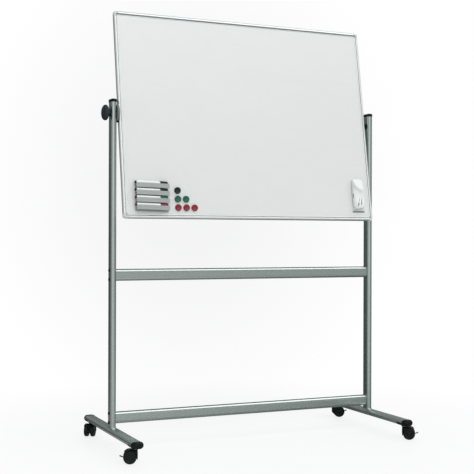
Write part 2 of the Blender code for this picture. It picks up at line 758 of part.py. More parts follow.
for label, mat, v in zip(("black_1", "black_2", "green", "red"), (INK_BLACK, INK_BLACK, INK_GREEN, INK_RED), MARKER_V):
    u0, u1 = MARKER_U
    length = u1 - u0
    profile = (
        (0, 0),
        (5.6 * MM, 0.4 * MM),
        (6.0 * MM, 7 * MM),
        (MARKER_R - 0.6 * MM, 8 * MM),
        (MARKER_R - 0.6 * MM, length - 35 * MM),
        (MARKER_R, length - 34 * MM),
        (MARKER_R, length - 2 * MM),
        (MARKER_R - 2 * MM, length),
        (0, length),
    )
    bm = bmesh.new()
    lathe(bm, profile, 10, 0)
    finish(f"marker_{label}", bm, mat, RACK, (u0 - hu, -MARKER_N, v - hv))

MAGNETS = (
    ("magnet_black", INK_BLACK, 0, 0),
    ("magnet_green_1", INK_GREEN, 0, 1),
    ("magnet_green_2", INK_GREEN, 1, 1),
    ("magnet_red_1", INK_RED, 0, 2),
    ("magnet_red_2", INK_RED, 1, 2),
    ("magnet_red_3", INK_RED, 2, 2),
)
for name, mat, col, row in MAGNETS:
    bm = bmesh.new()
    lathe(
        bm,
        ((0, 0), (MAGNET_R, 0), (MAGNET_R - 0.6 * MM, -MAGNET_T + 2.4 * MM), (MAGNET_R - 3.4 * MM, -MAGNET_T), (0, -MAGNET_T)),
        16,
        1,
    )
    finish(name, bm, mat, BOARD, (MAGNET_UV[0] + col * MAGNET_PITCH, -FACE, MAGNET_UV[1] - row * MAGNET_PITCH))

# eraser: felt-soled, waisted block with a saddle-shaped back
eu, ev = ERASER
ew, eh, et = ERASER_SIZE


def eraser_ring(depth, grow, waist):
    pts = []
    n = 20
    for k in range(n):
        a = 2 * pi * k / n
        cx, cz = cos(a), sin(a)
        power = 0.42
        px = abs(cx) ** power * (1 if cx >= 0 else -1)
        pz = abs(cz) ** power * (1 if cz >= 0 else -1)
        pinch = 1 - waist * (1 - min(1.0, abs(pz)) ** 2)
        pts.append((eu + px * (ew / 2 * grow) * pinch, -depth, ev + pz * (eh / 2) * (0.5 + 0.5 * grow)))
    return pts


bm = bmesh.new()
loft(
    bm,
    [
        eraser_ring(FACE, 1.0, 0.0),
        eraser_ring(FACE + 11 * MM, 1.0, 0.04),
        eraser_ring(FACE + 20 * MM, 0.9, 0.22),
        eraser_ring(FACE + 29 * MM, 0.8, 0.28),
        eraser_ring(FACE + et, 0.6, 0.3),
    ],
)
finish("eraser", bm, WHITE_PLASTIC, BOARD, smooth=50)
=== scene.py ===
"""Looks of the rolling, revolving whiteboard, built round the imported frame."""

import json
from math import cos, pi, radians, sin, sqrt

import bmesh
import bpy
from mathutils import Matrix, Vector


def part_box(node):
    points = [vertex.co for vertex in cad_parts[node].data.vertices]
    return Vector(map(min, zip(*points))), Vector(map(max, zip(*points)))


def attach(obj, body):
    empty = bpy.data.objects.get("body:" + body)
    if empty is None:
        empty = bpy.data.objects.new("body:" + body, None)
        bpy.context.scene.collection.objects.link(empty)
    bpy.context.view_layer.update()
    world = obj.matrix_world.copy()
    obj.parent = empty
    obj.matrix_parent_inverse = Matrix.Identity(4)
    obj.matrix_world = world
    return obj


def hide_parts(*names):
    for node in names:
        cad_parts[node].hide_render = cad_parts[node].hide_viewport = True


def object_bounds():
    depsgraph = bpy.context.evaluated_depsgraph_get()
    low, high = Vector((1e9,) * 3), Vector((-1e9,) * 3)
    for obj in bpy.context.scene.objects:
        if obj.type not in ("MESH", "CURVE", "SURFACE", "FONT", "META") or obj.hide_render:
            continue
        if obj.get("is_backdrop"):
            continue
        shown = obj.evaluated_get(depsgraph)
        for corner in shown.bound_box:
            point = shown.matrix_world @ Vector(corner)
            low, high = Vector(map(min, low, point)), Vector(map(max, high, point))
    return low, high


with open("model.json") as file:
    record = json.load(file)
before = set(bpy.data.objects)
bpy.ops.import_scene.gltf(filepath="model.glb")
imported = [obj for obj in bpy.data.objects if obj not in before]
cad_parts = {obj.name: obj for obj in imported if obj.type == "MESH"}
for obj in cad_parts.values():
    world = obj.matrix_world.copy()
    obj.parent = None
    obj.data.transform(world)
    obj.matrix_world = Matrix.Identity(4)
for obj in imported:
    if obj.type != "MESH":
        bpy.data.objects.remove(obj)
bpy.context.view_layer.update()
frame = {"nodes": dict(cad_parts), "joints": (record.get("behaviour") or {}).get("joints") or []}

SCENE = bpy.context.scene
MM = 0.001
JOINT = {j["name"]: j for j in frame["joints"]}
PIVOT = Vector(JOINT["board_revolve"]["pos_m"])
TILT = 9.5
BOARD_M = Matrix.Translation(PIVOT) @ Matrix.Rotation(-radians(TILT), 4, "X")


# ================================================================ materials
class Graph:
    """Small helper round a node tree."""

    def __init__(self, tree):
        self.t = tree

    def node(self, kind, props=None, **inputs):
        n = self.t.nodes.new(kind)
        for k, v in (props or {}).items():
            setattr(n, k, v)
        for k, v in inputs.items():
            self.put(n.inputs[k.replace("_", " ")], v)
        return n

    def put(self, socket, v):
        if isinstance(v, bpy.types.NodeSocket):
            self.t.links.new(v, socket)
        else:
            socket.default_value = v

    def math(self, op, a, b=0.0, c=0.0):
        n = self.t.nodes.new("ShaderNodeMath")
        n.operation = op
        for s, v in zip(n.inputs, (a, b, c)):
            self.put(s, v)
        return n.outputs[0]

    def vmath(self, op, a, b=None):
        n = self.t.nodes.new("ShaderNodeVectorMath")
        n.operation = op
        self.put(n.inputs[0], a)
        if b is not None:
            self.put(n.inputs[1], b)
        return n.outputs["Value"] if op in ("LENGTH", "DOT_PRODUCT") else n.outputs["Vector"]

    def mix(self, f, a, b):
        n = self.t.nodes.new("ShaderNodeMix")
        n.data_type = "RGBA"
        self.put(n.inputs[0], f)
        for s, v in ((n.inputs[6], a), (n.inputs[7], b)):
            self.put(s, (*v, 1.0) if isinstance(v, tuple) and len(v) == 3 else v)
        return n.outputs[2]

    def range(self, v, a, b, c, d):
        n = self.t.nodes.new("ShaderNodeMapRange")
        for s, x in zip(n.inputs, (v, a, b, c, d)):
            self.put(s, x)
        return n.outputs[0]

    def coords(self, scale=(1, 1, 1)):
        tc = self.t.nodes.new("ShaderNodeTexCoord")
        m = self.t.nodes.new("ShaderNodeMapping")
        self.t.links.new(tc.outputs["Object"], m.inputs["Vector"])
        m.inputs["Scale"].default_value = scale
        return m.outputs["Vector"]

    def noise(self, scale, detail=2.0, rough=0.5, stretch=(1, 1, 1), distortion=0.0):
        n = self.t.nodes.new("ShaderNodeTexNoise")
        self.t.links.new(self.coords(stretch), n.inputs["Vector"])
        n.inputs["Scale"].default_value = scale
        n.inputs["Detail"].default_value = detail
        n.inputs["Roughness"].default_value = rough
        n.inputs["Distortion"].default_value = distortion
        return n.outputs["Fac"]

    def bump(self, height, strength, distance, under=None):
        n = self.t.nodes.new("ShaderNodeBump")
        self.put(n.inputs["Height"], height)
        n.inputs["Strength"].default_value = strength
        n.inputs["Distance"].default_value = distance
        if under is not None:
            self.put(n.inputs["Normal"], under)
        return n.outputs[0]

    def edges(self, radius):
        """About 0 on faces, towards 1 on convex and concave edges."""
        b = self.t.nodes.new("ShaderNodeBevel")
        b.samples = 4
        b.inputs["Radius"].default_value = radius
        g = self.t.nodes.new("ShaderNodeNewGeometry")
        d = self.vmath("DOT_PRODUCT", b.outputs[0], g.outputs["Normal"])
        return self.range(d, 0.995, 0.82, 0.0, 1.0)


def new_material(name):
    m = bpy.data.materials.new(name)
    m.use_nodes = True
    g = Graph(m.node_tree)
    return m, g, m.node_tree.nodes["Principled BSDF"]


def moulded(name, colour, rough, grain=0.25, grain_scale=900, vary=0.12, wear=0.25, wear_to=None, spec=0.5, coat=0.0):
    """Moulded plastic: fine grain, cloudy colour, handled patches, paler edges."""
    m, g, s = new_material(name)
    cloud = g.noise(14, 3)
    dark = tuple(c * (1 - vary) for c in colour)
    light = tuple(min(1.0, c * (1 + vary) + 0.002) for c in colour)
    base = g.mix(cloud, dark, light)
    rub = wear_to or tuple(min(1.0, c * 1.3 + 0.035) for c in colour)
    nick = g.math("MULTIPLY", g.edges(0.0007), g.range(g.noise(120, 4), 0.42, 0.62, 0.0, wear))
    g.put(s.inputs["Base Color"], g.mix(nick, base, rub))
    hand = g.noise(38, 4, 0.6)
    g.put(s.inputs["Roughness"], g.range(hand, 0.25, 0.75, max(0.02, rough - 0.07), min(1.0, rough + 0.09)))
    s.inputs["Specular IOR Level"].default_value = spec
    s.inputs["Coat Weight"].default_value = coat
    s.inputs["Coat Roughness"].default_value = 0.08
    fine = g.noise(grain_scale, 3, 0.6)
    g.put(s.inputs["Normal"], g.bump(fine, grain, 0.00012))
    return m


def silver_paint(name):
    """Silver powder coat on steel tube: metal flake, orange peel, faint smudges, rubbed edges."""
    m, g, s = new_material(name)
    flake = g.noise(2600, 1)
    cloud = g.noise(3.5, 4, 0.6)
    a = g.mix(cloud, (0.462, 0.512, 0.493), (0.492, 0.538, 0.52))
    base = g.mix(g.range(flake, 0.35, 0.7, 0.0, 0.55), a, (0.64, 0.67, 0.66))
    nick = g.math("MULTIPLY", g.edges(0.0009), g.range(g.noise(70, 5), 0.5, 0.68, 0.0, 0.5))
    g.put(s.inputs["Base Color"], g.mix(nick, base, (0.74, 0.75, 0.74)))
    smudge = g.noise(11, 5, 0.62, distortion=0.4)
    r = g.range(smudge, 0.3, 0.72, 0.245, 0.285)
    g.put(s.inputs["Roughness"], g.math("ADD", r, g.range(flake, 0.3, 0.7, -0.03, 0.03)))
    s.inputs["Metallic"].default_value = 0.97
    s.inputs["Coat Weight"].default_value = 0.05
    s.inputs["Coat Roughness"].default_value = 0.16
    peel = g.noise(330, 2)
    n1 = g.bump(peel, 0.011, 0.0003)
    g.put(s.inputs["Normal"], g.bump(flake, 0.03, 0.0001, n1))
    return m


def brushed_aluminium(name, axis):
    """Anodised aluminium with extrusion lines along one axis."""
    m, g, s = new_material(name)
    stretch = [900.0, 900.0, 900.0]
    stretch[axis] = 3.0
    lines = g.noise(1.0, 3, 0.7, tuple(stretch))
    broad = [160.0, 160.0, 160.0]
    broad[axis] = 1.2
    bands = g.noise(1.0, 2, 0.5, tuple(broad))
    base = g.mix(lines, (0.90, 0.908, 0.905), (0.955, 0.962, 0.958))
    base = g.mix(g.range(bands, 0.4, 0.7, 0.0, 0.35), base, (0.87, 0.885, 0.88))
    nick = g.math("MULTIPLY", g.edges(0.0005), g.range(g.noise(90, 5), 0.5, 0.65, 0.0, 0.6))
    g.put(s.inputs["Base Color"], g.mix(nick, base, (0.92, 0.92, 0.92)))
    # the satin face is pale; the rounded shoulders and the sides are bare and reflect like metal
    tc = m.node_tree.nodes.new("ShaderNodeTexCoord")
    along = g.vmath("DOT_PRODUCT", tc.outputs["Normal"], (0.0, -cos(radians(TILT)), sin(radians(TILT))))
    face = g.range(g.math("ABSOLUTE", along), 0.915, 0.985, 0.0, 1.0)
    g.put(s.inputs["Metallic"], g.range(face, 0.0, 1.0, 0.97, 0.14))
    g.put(s.inputs["Roughness"], g.range(lines, 0.3, 0.7, 0.24, 0.40))
    g.put(s.inputs["Normal"], g.bump(lines, 0.12, 0.00008))
    return m


def board_lacquer(name):
    """Glossy white writing surface: clear gloss, wiping swirls, the faintest ghost of old writing."""
    m, g, s = new_material(name)
    ghost = g.noise(5.0, 6, 0.62, (1, 1, 1.6), 1.2)
    streak = g.noise(1.0, 4, 0.6, (9, 9, 70), 0.6)
    base = g.mix(g.range(ghost, 0.42, 0.7, 0.0, 0.6), (0.765, 0.768, 0.766), (0.749, 0.753, 0.751))
    base = g.mix(g.range(streak, 0.56, 0.72, 0.0, 0.30), base, (0.735, 0.739, 0.738))
    g.put(s.inputs["Base Color"], base)
    wipe = g.noise(7, 6, 0.66, (1, 1, 2.5), 1.6)
    g.put(s.inputs["Roughness"], g.range(wipe, 0.3, 0.7, 0.13, 0.24))
    s.inputs["Specular IOR Level"].default_value = 0.45
    s.inputs["Coat Weight"].default_value = 0.35
    s.inputs["Coat Roughness"].default_value = 0.05
    wave = g.noise(26, 2)
    g.put(s.inputs["Normal"], g.bump(wave, 0.03, 0.0006))
    return m


def turned_disc(name, colour, rough, axis, metal=0.0):
    """Faced or moulded disc: rings about the pivot's axis."""
    m, g, s = new_material(name)
    tc = m.node_tree.nodes.new("ShaderNodeTexCoord")
    v = g.vmath("SUBTRACT", tc.outputs["Object"], tuple(PIVOT))
    mask = [1.0, 1.0, 1.0]
    mask[axis] = 0.0
    r = g.vmath("LENGTH", g.vmath("MULTIPLY", v, tuple(mask)))
    rings = g.math("SINE", g.math("MULTIPLY", r, 5200.0))
    cloud = g.noise(40, 3)
    base = g.mix(cloud, tuple(c * 0.9 for c in colour), tuple(min(1, c * 1.08) for c in colour))
    nick = g.math("MULTIPLY", g.edges(0.0008), g.range(g.noise(150, 4), 0.45, 0.6, 0.0, 0.5))
    g.put(s.inputs["Base Color"], g.mix(nick, base, tuple(min(1, c * 1.5) for c in colour)))
    s.inputs["Metallic"].default_value = metal
    g.put(s.inputs["Roughness"], g.range(cloud, 0.3, 0.7, rough - 0.06, rough + 0.08))
    g.put(s.inputs["Normal"], g.bump(rings, 0.12, 0.0001))
    return m


def fibre(name, colour, scale=420):
    """Felt or raw board: short random fibres."""
    m, g, s = new_material(name)
    f = g.noise(scale, 6, 0.75, (1, 1, 1), 1.5)
    g.put(s.inputs["Base Color"], g.mix(f, tuple(c * 0.72 for c in colour), tuple(min(1, c * 1.2) for c in colour)))
    s.inputs["Roughness"].default_value = 0.95
    s.inputs["Sheen Weight"].default_value = 0.25
    g.put(s.inputs["Normal"], g.bump(f, 0.6, 0.0006))
    return m


def steel(name, colour, rough, axis=0):
    m, g, s = new_material(name)
    stretch = [2500.0, 2500.0, 2500.0]
    stretch[axis] = 60.0
    l = g.noise(1.0, 3, 0.7, tuple(stretch))
    c = g.noise(60, 3)
    g.put(s.inputs["Base Color"], g.mix(c, tuple(x * 0.85 for x in colour), tuple(min(1, x * 1.1) for x in colour)))
    s.inputs["Metallic"].default_value = 1.0
    g.put(s.inputs["Roughness"], g.range(l, 0.3, 0.7, rough - 0.06, rough + 0.1))
    g.put(s.inputs["Normal"], g.bump(l, 0.1, 0.0001))
    return m


def nylon_wheel(name):
    """Black nylon twin wheel: satin faces, scuffed and slightly dusty tread."""
    m, g, s = new_material(name)
    cloud = g.noise(60, 4, 0.6)
    base = g.mix(cloud, (0.0035, 0.0065, 0.006), (0.007, 0.012, 0.0112))
    dust = g.range(g.noise(180, 5, 0.7), 0.45, 0.72, 0.0, 0.35)
    geo = m.node_tree.nodes.new("ShaderNodeNewGeometry")
    sep = m.node_tree.nodes.new("ShaderNodeSeparateXYZ")
    g.put(sep.inputs[0], geo.outputs["Position"])
    low = g.range(sep.outputs["Z"], 0.0, 0.022, 1.0, 0.15)
    g.put(s.inputs["Base Color"], g.mix(g.math("MULTIPLY", dust, low), base, (0.06, 0.064, 0.062)))
    g.put(s.inputs["Roughness"], g.range(g.noise(90, 4), 0.3, 0.7, 0.22, 0.42))
    s.inputs["Specular IOR Level"].default_value = 0.26
    g.put(s.inputs["Normal"], g.bump(g.noise(700, 3, 0.6), 0.22, 0.00012))
    return m


SILVER = silver_paint("silver_powder_coat")
ALU = {0: brushed_aluminium("aluminium_across", 0), 2: brushed_aluminium("aluminium_upright", 2)}
LACQUER = board_lacquer("white_board_lacquer")
CORNER = moulded("corner_grey_plastic", (0.66, 0.68, 0.675), 0.34, 0.12, 1100, 0.04, 0.1)
BLACK = moulded("black_moulded_plastic", (0.0038, 0.0068, 0.0066), 0.40, 0.35, 850, 0.25, 0.40, (0.030, 0.038, 0.037), 0.2)
KNOB_BLACK = moulded("black_knob_plastic", (0.010, 0.0165, 0.019), 0.34, 0.22, 650, 0.2, 0.45, (0.05, 0.058, 0.06), 0.42)
NYLON = nylon_wheel("black_nylon_wheel")
BOLT = steel("black_oxide_bolt", (0.035, 0.04, 0.04), 0.34)
ZINC = steel("bright_zinc", (0.62, 0.63, 0.64), 0.28)
DISC = turned_disc("grey_clutch_disc", (0.185, 0.20, 0.195), 0.5, 0)
WHITE = moulded("white_gloss_plastic", (0.83, 0.845, 0.84), 0.22, 0.05, 900, 0.02, 0.0, None, 0.5, 0.35)
RACK_GREY = moulded("rack_grey_plastic", (0.365, 0.385, 0.38), 0.4, 0.2, 900, 0.06, 0.15)
ERASER_WHITE = moulded("eraser_white_plastic", (0.84, 0.85, 0.847), 0.36, 0.06, 900, 0.02, 0.0, None, 0.35)
# dark grey for the frame seal, whose tone partly paints the shadow gap, and for the painted shade in the eraser's side
# slot
GREY_SEAL_AND_PAINTED_SHADE = moulded("grey_gasket", (0.17, 0.183, 0.179), 0.6, 0.3, 1200, 0.1, 0.1, None, 0.25)
GRIP_GREY = moulded("grip_grey", (0.27, 0.28, 0.275), 0.6, 0.4, 900, 0.1, 0.1, None, 0.25)
STRIP = moulded("strip_grey", (0.245, 0.26, 0.255), 0.5, 0.15, 900, 0.06, 0.1)
FELT = fibre("eraser_felt", (0.60, 0.61, 0.605))
CORE = fibre("core_board", (0.55, 0.43, 0.30), 260)
INK = {
    "black": moulded("ink_black", (0.0065, 0.0115, 0.0115), 0.36, 0.12, 900, 0.2, 0.3, (0.04, 0.05, 0.05), 0.28),
    "green": moulded("ink_green", (0.003, 0.105, 0.060), 0.34, 0.12, 900, 0.12, 0.2, None, 0.4, 0.05),
    "red": moulded("ink_red", (0.245, 0.012, 0.024), 0.34, 0.12, 900, 0.12, 0.2, None, 0.4, 0.05),
    "dark green": moulded("plug_green", (0.003, 0.045, 0.028), 0.38, 0.12, 900, 0.12, 0.2, None, 0.3),
    "dark red": moulded("plug_red", (0.095, 0.012, 0.018), 0.38, 0.12, 900, 0.12, 0.2, None, 0.3),
}


# ================================================================ mesh helpers
def smooth(mesh, angle):
    mesh.shade_smooth()
    mesh.set_sharp_from_angle(angle=radians(angle))


def piece(name, bm, mat, body, nodes=(), M=None, bevel=0.0, segments=3, angle=35, weighted=True, cuts=(), joins=(), subdiv=0):
    """Finishes a bmesh as a piece of the object: Booleans, bevel, shading, material, body."""
    if M is not None:
        bm.transform(M)
    bmesh.ops.recalc_face_normals(bm, faces=bm.faces)
    mesh = bpy.data.meshes.new(name)
    bm.to_mesh(mesh)
    bm.free()
    obj = bpy.data.objects.new(name, mesh)
    SCENE.collection.objects.link(obj)
    helpers = []
    for op, others in (("UNION", joins), ("DIFFERENCE", cuts)):
        for other in others:
            if M is not None:
                other.transform(M)
            bmesh.ops.recalc_face_normals(other, faces=other.faces)
            om = bpy.data.meshes.new("helper")
            other.to_mesh(om)
            other.free()
            oo = bpy.data.objects.new("helper", om)
            SCENE.collection.objects.link(oo)
            helpers.append(oo)
            mod = obj.modifiers.new(op, "BOOLEAN")
            mod.operation, mod.object, mod.solver = op, oo, "EXACT"
    if bevel:
        b = obj.modifiers.new("edge", "BEVEL")
        b.width, b.segments, b.limit_method, b.angle_limit = bevel, segments, "ANGLE", radians(38)
        b.use_clamp_overlap = True
        b.harden_normals = False
    if subdiv:
        sd = obj.modifiers.new("subd", "SUBSURF")
        sd.levels = sd.render_levels = subdiv
    if obj.modifiers:
        bpy.context.view_layer.update()
        done = bpy.data.meshes.new_from_object(obj.evaluated_get(bpy.context.evaluated_depsgraph_get()))
        obj.modifiers.clear()
        obj.data = done
        done.name = name
    for h in helpers:
        bpy.data.objects.remove(h)
    obj.data.materials.clear()
    obj.data.materials.append(mat)
    for p in obj.data.polygons:
        p.material_index = 0
    smooth(obj.data, angle)
    if weighted:
        w = obj.modifiers.new("weighted", "WEIGHTED_NORMAL")
        w.keep_sharp = True
        w.mode = "FACE_AREA"
    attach(obj, body)
    if nodes:
        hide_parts(*nodes)
    return obj


def stadium(w, d, steps=14):
    """Flat oval, w across (first axis), d long (second axis)."""
    r, s = w / 2, max(d / 2 - w / 2, 0.0)
    pts = [(r * cos(pi * k / steps), s + r * sin(pi * k / steps)) for k in range(steps + 1)]
    return pts + [(r * cos(pi + pi * k / steps), -s + r * sin(pi + pi * k / steps)) for k in range(steps + 1)]


def ring(bm, pts):
    return [bm.verts.new(p) for p in pts]


def skin(bm, a, b):
    n = len(a)
    for k in range(n):
        bm.faces.new((a[k], a[(k + 1) % n], b[(k + 1) % n], b[k]))


def loft(bm, rings, close=True):
    made = [ring(bm, r) for r in rings]
    for a, b in zip(made, made[1:]):
        skin(bm, a, b)
    if close:
        bm.faces.new(made[0])
        bm.faces.new(made[-1])
    return made


def lofted(rings):
    bm = bmesh.new()
    loft(bm, rings)
    return bm


def lathed(profile, sides, axis, wave=None, bm=None, at=(0, 0, 0)):
    """Turns (radius, height) points about an axis; radius 0 makes a pole."""
    bm = bm or bmesh.new()

    def put(r, h, k):
        a = 2 * pi * k / sides
        rr = r * (wave(a, r, h) if wave else 1.0)
        v = [at[0], at[1], at[2]]
        v[axis] += h
        v[(axis + 1) % 3] += rr * cos(a)
        v[(axis + 2) % 3] += rr * sin(a)
        return v

    rings = []
    for r, h in profile:
        rings.append(ring(bm, [put(0, h, 0)] if r < 1e-9 else [put(r, h, k) for k in range(sides)]))
    for a, b in zip(rings, rings[1:]):
        if len(a) == 1:
            for k in range(sides):
                bm.faces.new((a[0], b[k], b[(k + 1) % sides]))
        elif len(b) == 1:
            for k in range(sides):
                bm.faces.new((a[k], b[0], a[(k + 1) % sides]))
        else:
            skin(bm, a, b)
    for e in (rings[0], rings[-1]):
        if len(e) > 1:
            bm.faces.new(e)
    return bm


def prism(outline, lo, hi, axis, bm=None):
    bm = bm or bmesh.new()

    def put(p, t):
        v = [0.0, 0.0, 0.0]
        v[axis] = t
        v[(axis + 1) % 3], v[(axis + 2) % 3] = p
        return v

    loft(bm, [[put(p, t) for p in outline] for t in (lo, hi)])
    return bm


def circle(r, n, cx=0.0, cy=0.0, turn=0.0):
    return [(cx + r * cos(2 * pi * (k + turn) / n), cy + r * sin(2 * pi * (k + turn) / n)) for k in range(n)]


def arc(r, a0, a1, steps, cx=0.0, cz=0.0):
    return [(cx + r * cos(radians(a0 + (a1 - a0) * k / steps)), cz + r * sin(radians(a0 + (a1 - a0) * k / steps))) for k in range(steps + 1)]


def fillet(points, radius, steps=4, closed=True):
    """Rounds the corners of a polygon."""
    out, n = [], len(points)
    for i in range(n):
        p = Vector(points[i])
        a, b = Vector(points[i - 1]) - p, Vector(points[(i + 1) % n]) - p
        la, lb = a.length, b.length
        a.normalize(), b.normalize()
        if abs(a.dot(b) + 1) < 1e-4:
            out.append(tuple(p))
            continue
        t = min(radius, la * 0.45, lb * 0.45)
        p0, p1 = p + a * t, p + b * t
        for k in range(steps + 1):
            s = k / steps
            out.append(tuple(p0 * (1 - s) ** 2 + p * 2 * s * (1 - s) + p1 * s * s))
    return out


def box_of(lo, hi, bm=None):
    bm = bm or bmesh.new()
    loft(bm, [[(lo[0], lo[1], z), (hi[0], lo[1], z), (hi[0], hi[1], z), (lo[0], hi[1], z)] for z in (lo[2], hi[2])])
    return bm


# ================================================================ stand
TUBE_W, TUBE_D, WALL = 25 * MM, 50 * MM, 1.8 * MM
FOOT_W, FOOT_H = 50 * MM, 25 * MM
lo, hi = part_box("left_foot")
FOOT_Z = (lo.z + hi.z) / 2
FOOT_TOP = hi.z
FOOT_TUBE_Y = hi.y
post_lo, post_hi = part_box("left_upright")
POST_X = abs((post_lo.x + post_hi.x) / 2)
POST_BASE, POST_TOP = post_lo.z, post_hi.z
bolt_z = [(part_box(f"{lv}_rail_bolt_left_{pl}")[0].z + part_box(f"{lv}_rail_bolt_left_{pl}")[1].z) / 2 for lv in ("upper", "lower") for pl in ("top", "bottom")]


def upright(side, sx):
    x = sx * POST_X

    def at(z, grow):
        return [(x + px, py, z) for px, py in stadium(TUBE_W + grow, TUBE_D + grow)]

    zs = [POST_BASE] + [POST_BASE + h * MM for h in (0.6, 1.4, 2.6, 4.4, 7)]
    grow = [3.0, 2.5, 1.6, 0.8, 0.3, 0.0]
    outer = [at(z, g * MM) for z, g in zip(zs, grow)] + [at(POST_TOP - 0.3 * MM, 0), at(POST_TOP, -0.5 * MM)]
    inner = [at(POST_TOP, -2 * WALL), at(POST_BASE, -2 * WALL)]
    bm = bmesh.new()
    rings = [ring(bm, r) for r in outer + inner]
    for a, b in zip(rings, rings[1:] + rings[:1]):
        skin(bm, a, b)
    cuts = [prism(circle(3.4 * MM, 20, 0, z), x - 0.03, x + 0.03, 0) for z in bolt_z]
    cuts.append(prism(circle(5.4 * MM, 32, PIVOT.y, PIVOT.z), x - 0.03, x + 0.03, 0))
    piece(f"{side}_upright_tube", bm, SILVER, "stand", (f"{side}_upright",), cuts=cuts)
    # weld bead round the foot of the upright
    path = stadium(TUBE_W + 3.2 * MM, TUBE_D + 3.2 * MM, 26)
    n = len(path)
    bm = bmesh.new()
    rings = []
    for i, (px, py) in enumerate(path):
        qx, qy = path[(i + 1) % n]
        ox, oy = path[i - 1]
        t = Vector((qx - ox, qy - oy, 0)).normalized()
        nrm = Vector((t.y, -t.x, 0))
        r = (1.45 + 0.16 * sin(i * 2.6) + 0.08 * sin(i * 0.9)) * MM
        c = Vector((x + px, py, FOOT_TOP + 0.1 * MM))
        rings.append(ring(bm, [tuple(c + nrm * r * cos(a) + Vector((0, 0, r * 0.9 * sin(a)))) for a in [2 * pi * k / 8 for k in range(8)]]))
    for a, b in zip(rings, rings[1:] + rings[:1]):
        skin(bm, a, b)
    piece(f"{side}_weld_bead", bm, SILVER, "stand", angle=80, weighted=False)


def upright_cap(side, sx):
    x = sx * POST_X
    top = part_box(f"{side}_upright_cap")[1].z
    z = POST_TOP
    plug = -2 * WALL - 0.6 * MM
    rows = [(z - 18 * MM, plug - 1 * MM), (z - 16 * MM, plug), (z + 0.3 * MM, plug), (z + 0.3 * MM, 0.6 * MM), (z - 4.5 * MM, 0.6 * MM), (z - 4.5 * MM, 1.7 * MM), (z - 4.2 * MM, 2.2 * MM), (z + 4.6 * MM, 2.2 * MM)]
    h = top - (z + 4.6 * MM)
    for k in range(1, 8):
        a = radians(90 * k / 7.4)
        rows.append((z + 4.6 * MM + h * sin(a), 2.2 * MM - 17 * MM * (1 - cos(a)) ** 1.3))
    bm = lofted([[(x + px, py, zz) for px, py in stadium(TUBE_W + g, TUBE_D + g, 12)] for zz, g in rows])
    piece(f"{side}_upright_end_cap", bm, BLACK, "stand", (f"{side}_upright_cap",), angle=50)


def rail(level):
    lo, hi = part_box(f"{level}_rail")
    z = (lo.z + hi.z) / 2
    L = hi.x
    # the two flats each carry a shallow extruded line above and below
    sect = []
    r, s = TUBE_W / 2, TUBE_D / 2 - TUBE_W / 2
    g, w = 0.35 * MM, 0.7 * MM
    for k in range(17):
        a = pi * k / 16
        sect.append((r * cos(a), s + r * sin(a)))
    for v in (s - 1.0 * MM,):
        sect += [(-r, v), (-r + g, v - w / 2), (-r, v - w)]
    for v in (-s + 1.0 * MM,):
        sect += [(-r, v + w), (-r + g, v + w / 2), (-r, v)]
    for k in range(17):
        a = pi + pi * k / 16
        sect.append((r * cos(a), -s + r * sin(a)))
    for v in (-s + 1.0 * MM,):
        sect += [(r, v), (r - g, v + w / 2), (r, v + w)]
    for v in (s - 1.0 * MM,):
        sect += [(r, v - w), (r - g, v - w / 2), (r, v)]
    bm = lofted([[(x, py, z + pz) for py, pz in sect] for x in (-L, L)])
    iw, ih = TUBE_W / 2 - WALL, 12 * MM
    cuts = [prism([(iw, z - ih), (iw, z + ih), (-iw, z + ih), (-iw, z - ih)], -L - 0.01, L + 0.01, 0)]
    cuts += [prism(circle(3.4 * MM, 16, 0, z + q * 19 * MM), -L - 0.01, L + 0.01, 0) for q in (1, -1)]
    piece(f"{level}_cross_rail", bm, SILVER, "stand", (f"{level}_rail",), cuts=cuts, angle=25)


def rail_bolt(level, side, place, sx):
    node = f"{level}_rail_bolt_{side}_{place}"
    lo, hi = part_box(node)
    z = (lo.z + hi.z) / 2
    tip = hi.x if sx > 0 else lo.x
    seat = tip - sx * 4.2 * MM
    end = lo.x if sx > 0 else hi.x
    prof = [(0, tip)]
    prof += [(4.0 * MM, tip), (5.4 * MM, tip - sx * 0.7 * MM), (6.4 * MM, tip - sx * 1.9 * MM), (6.85 * MM, tip - sx * 3.2 * MM), (7.0 * MM, seat + sx * 0.3 * MM), (6.8 * MM, seat)]
    prof += [(3.0 * MM, seat), (3.0 * MM, end + sx * 1.2 * MM), (2.2 * MM, end), (0, end)]
    bm = lathed(prof, 32, 0, at=(0, 0, z))
    cut = prism(circle(2.4 * MM, 6, 0, z, 0.5), *sorted((tip + sx * 1 * MM, tip - sx * 2.4 * MM)), 0)
    piece(f"{node}_screw", bm, BOLT, "stand", (node,), cuts=[cut], angle=30)


for side, sx in (("left", -1), ("right", 1)):
    upright(side, sx)
    upright_cap(side, sx)
for level in ("upper", "lower"):
    rail(level)
    for side, sx in (("left", -1), ("right", 1)):
        for place in ("top", "bottom"):
            rail_bolt(level, side, place, sx)


# ---------------------------------------------------------------- feet
def foot_ring(x, w, h, y, steps=14, dz=0.0):
    return [(x + px, y, FOOT_Z + dz + pz) for pz, px in stadium(h, w, steps)]


def foot(side, sx):
    x = sx * POST_X
    y = FOOT_TUBE_Y
    t = 4.0 * MM
    bm = bmesh.new()
    rings = [ring(bm, foot_ring(x, FOOT_W - g, FOOT_H - g, yy)) for yy, g in ((-y, 0.6 * MM), (-y + 0.4 * MM, 0), (y - 0.4 * MM, 0), (y, 0.6 * MM), (y, t), (-y, t))]
    for a, b in zip(rings, rings[1:] + rings[:1]):
        skin(bm, a, b)
    cuts = []
    for end, sy in (("front", -1), ("rear", 1)):
        c = JOINT[f"{side}_{end}_swivel"]["pos_m"]
        cuts.append(prism(circle(6.5 * MM, 28, c[0], c[1]), FOOT_Z - FOOT_H, FOOT_Z - FOOT_H / 4, 2))
    piece(f"{side}_foot_tube", bm, SILVER, "stand", (f"{side}_foot",), cuts=cuts)


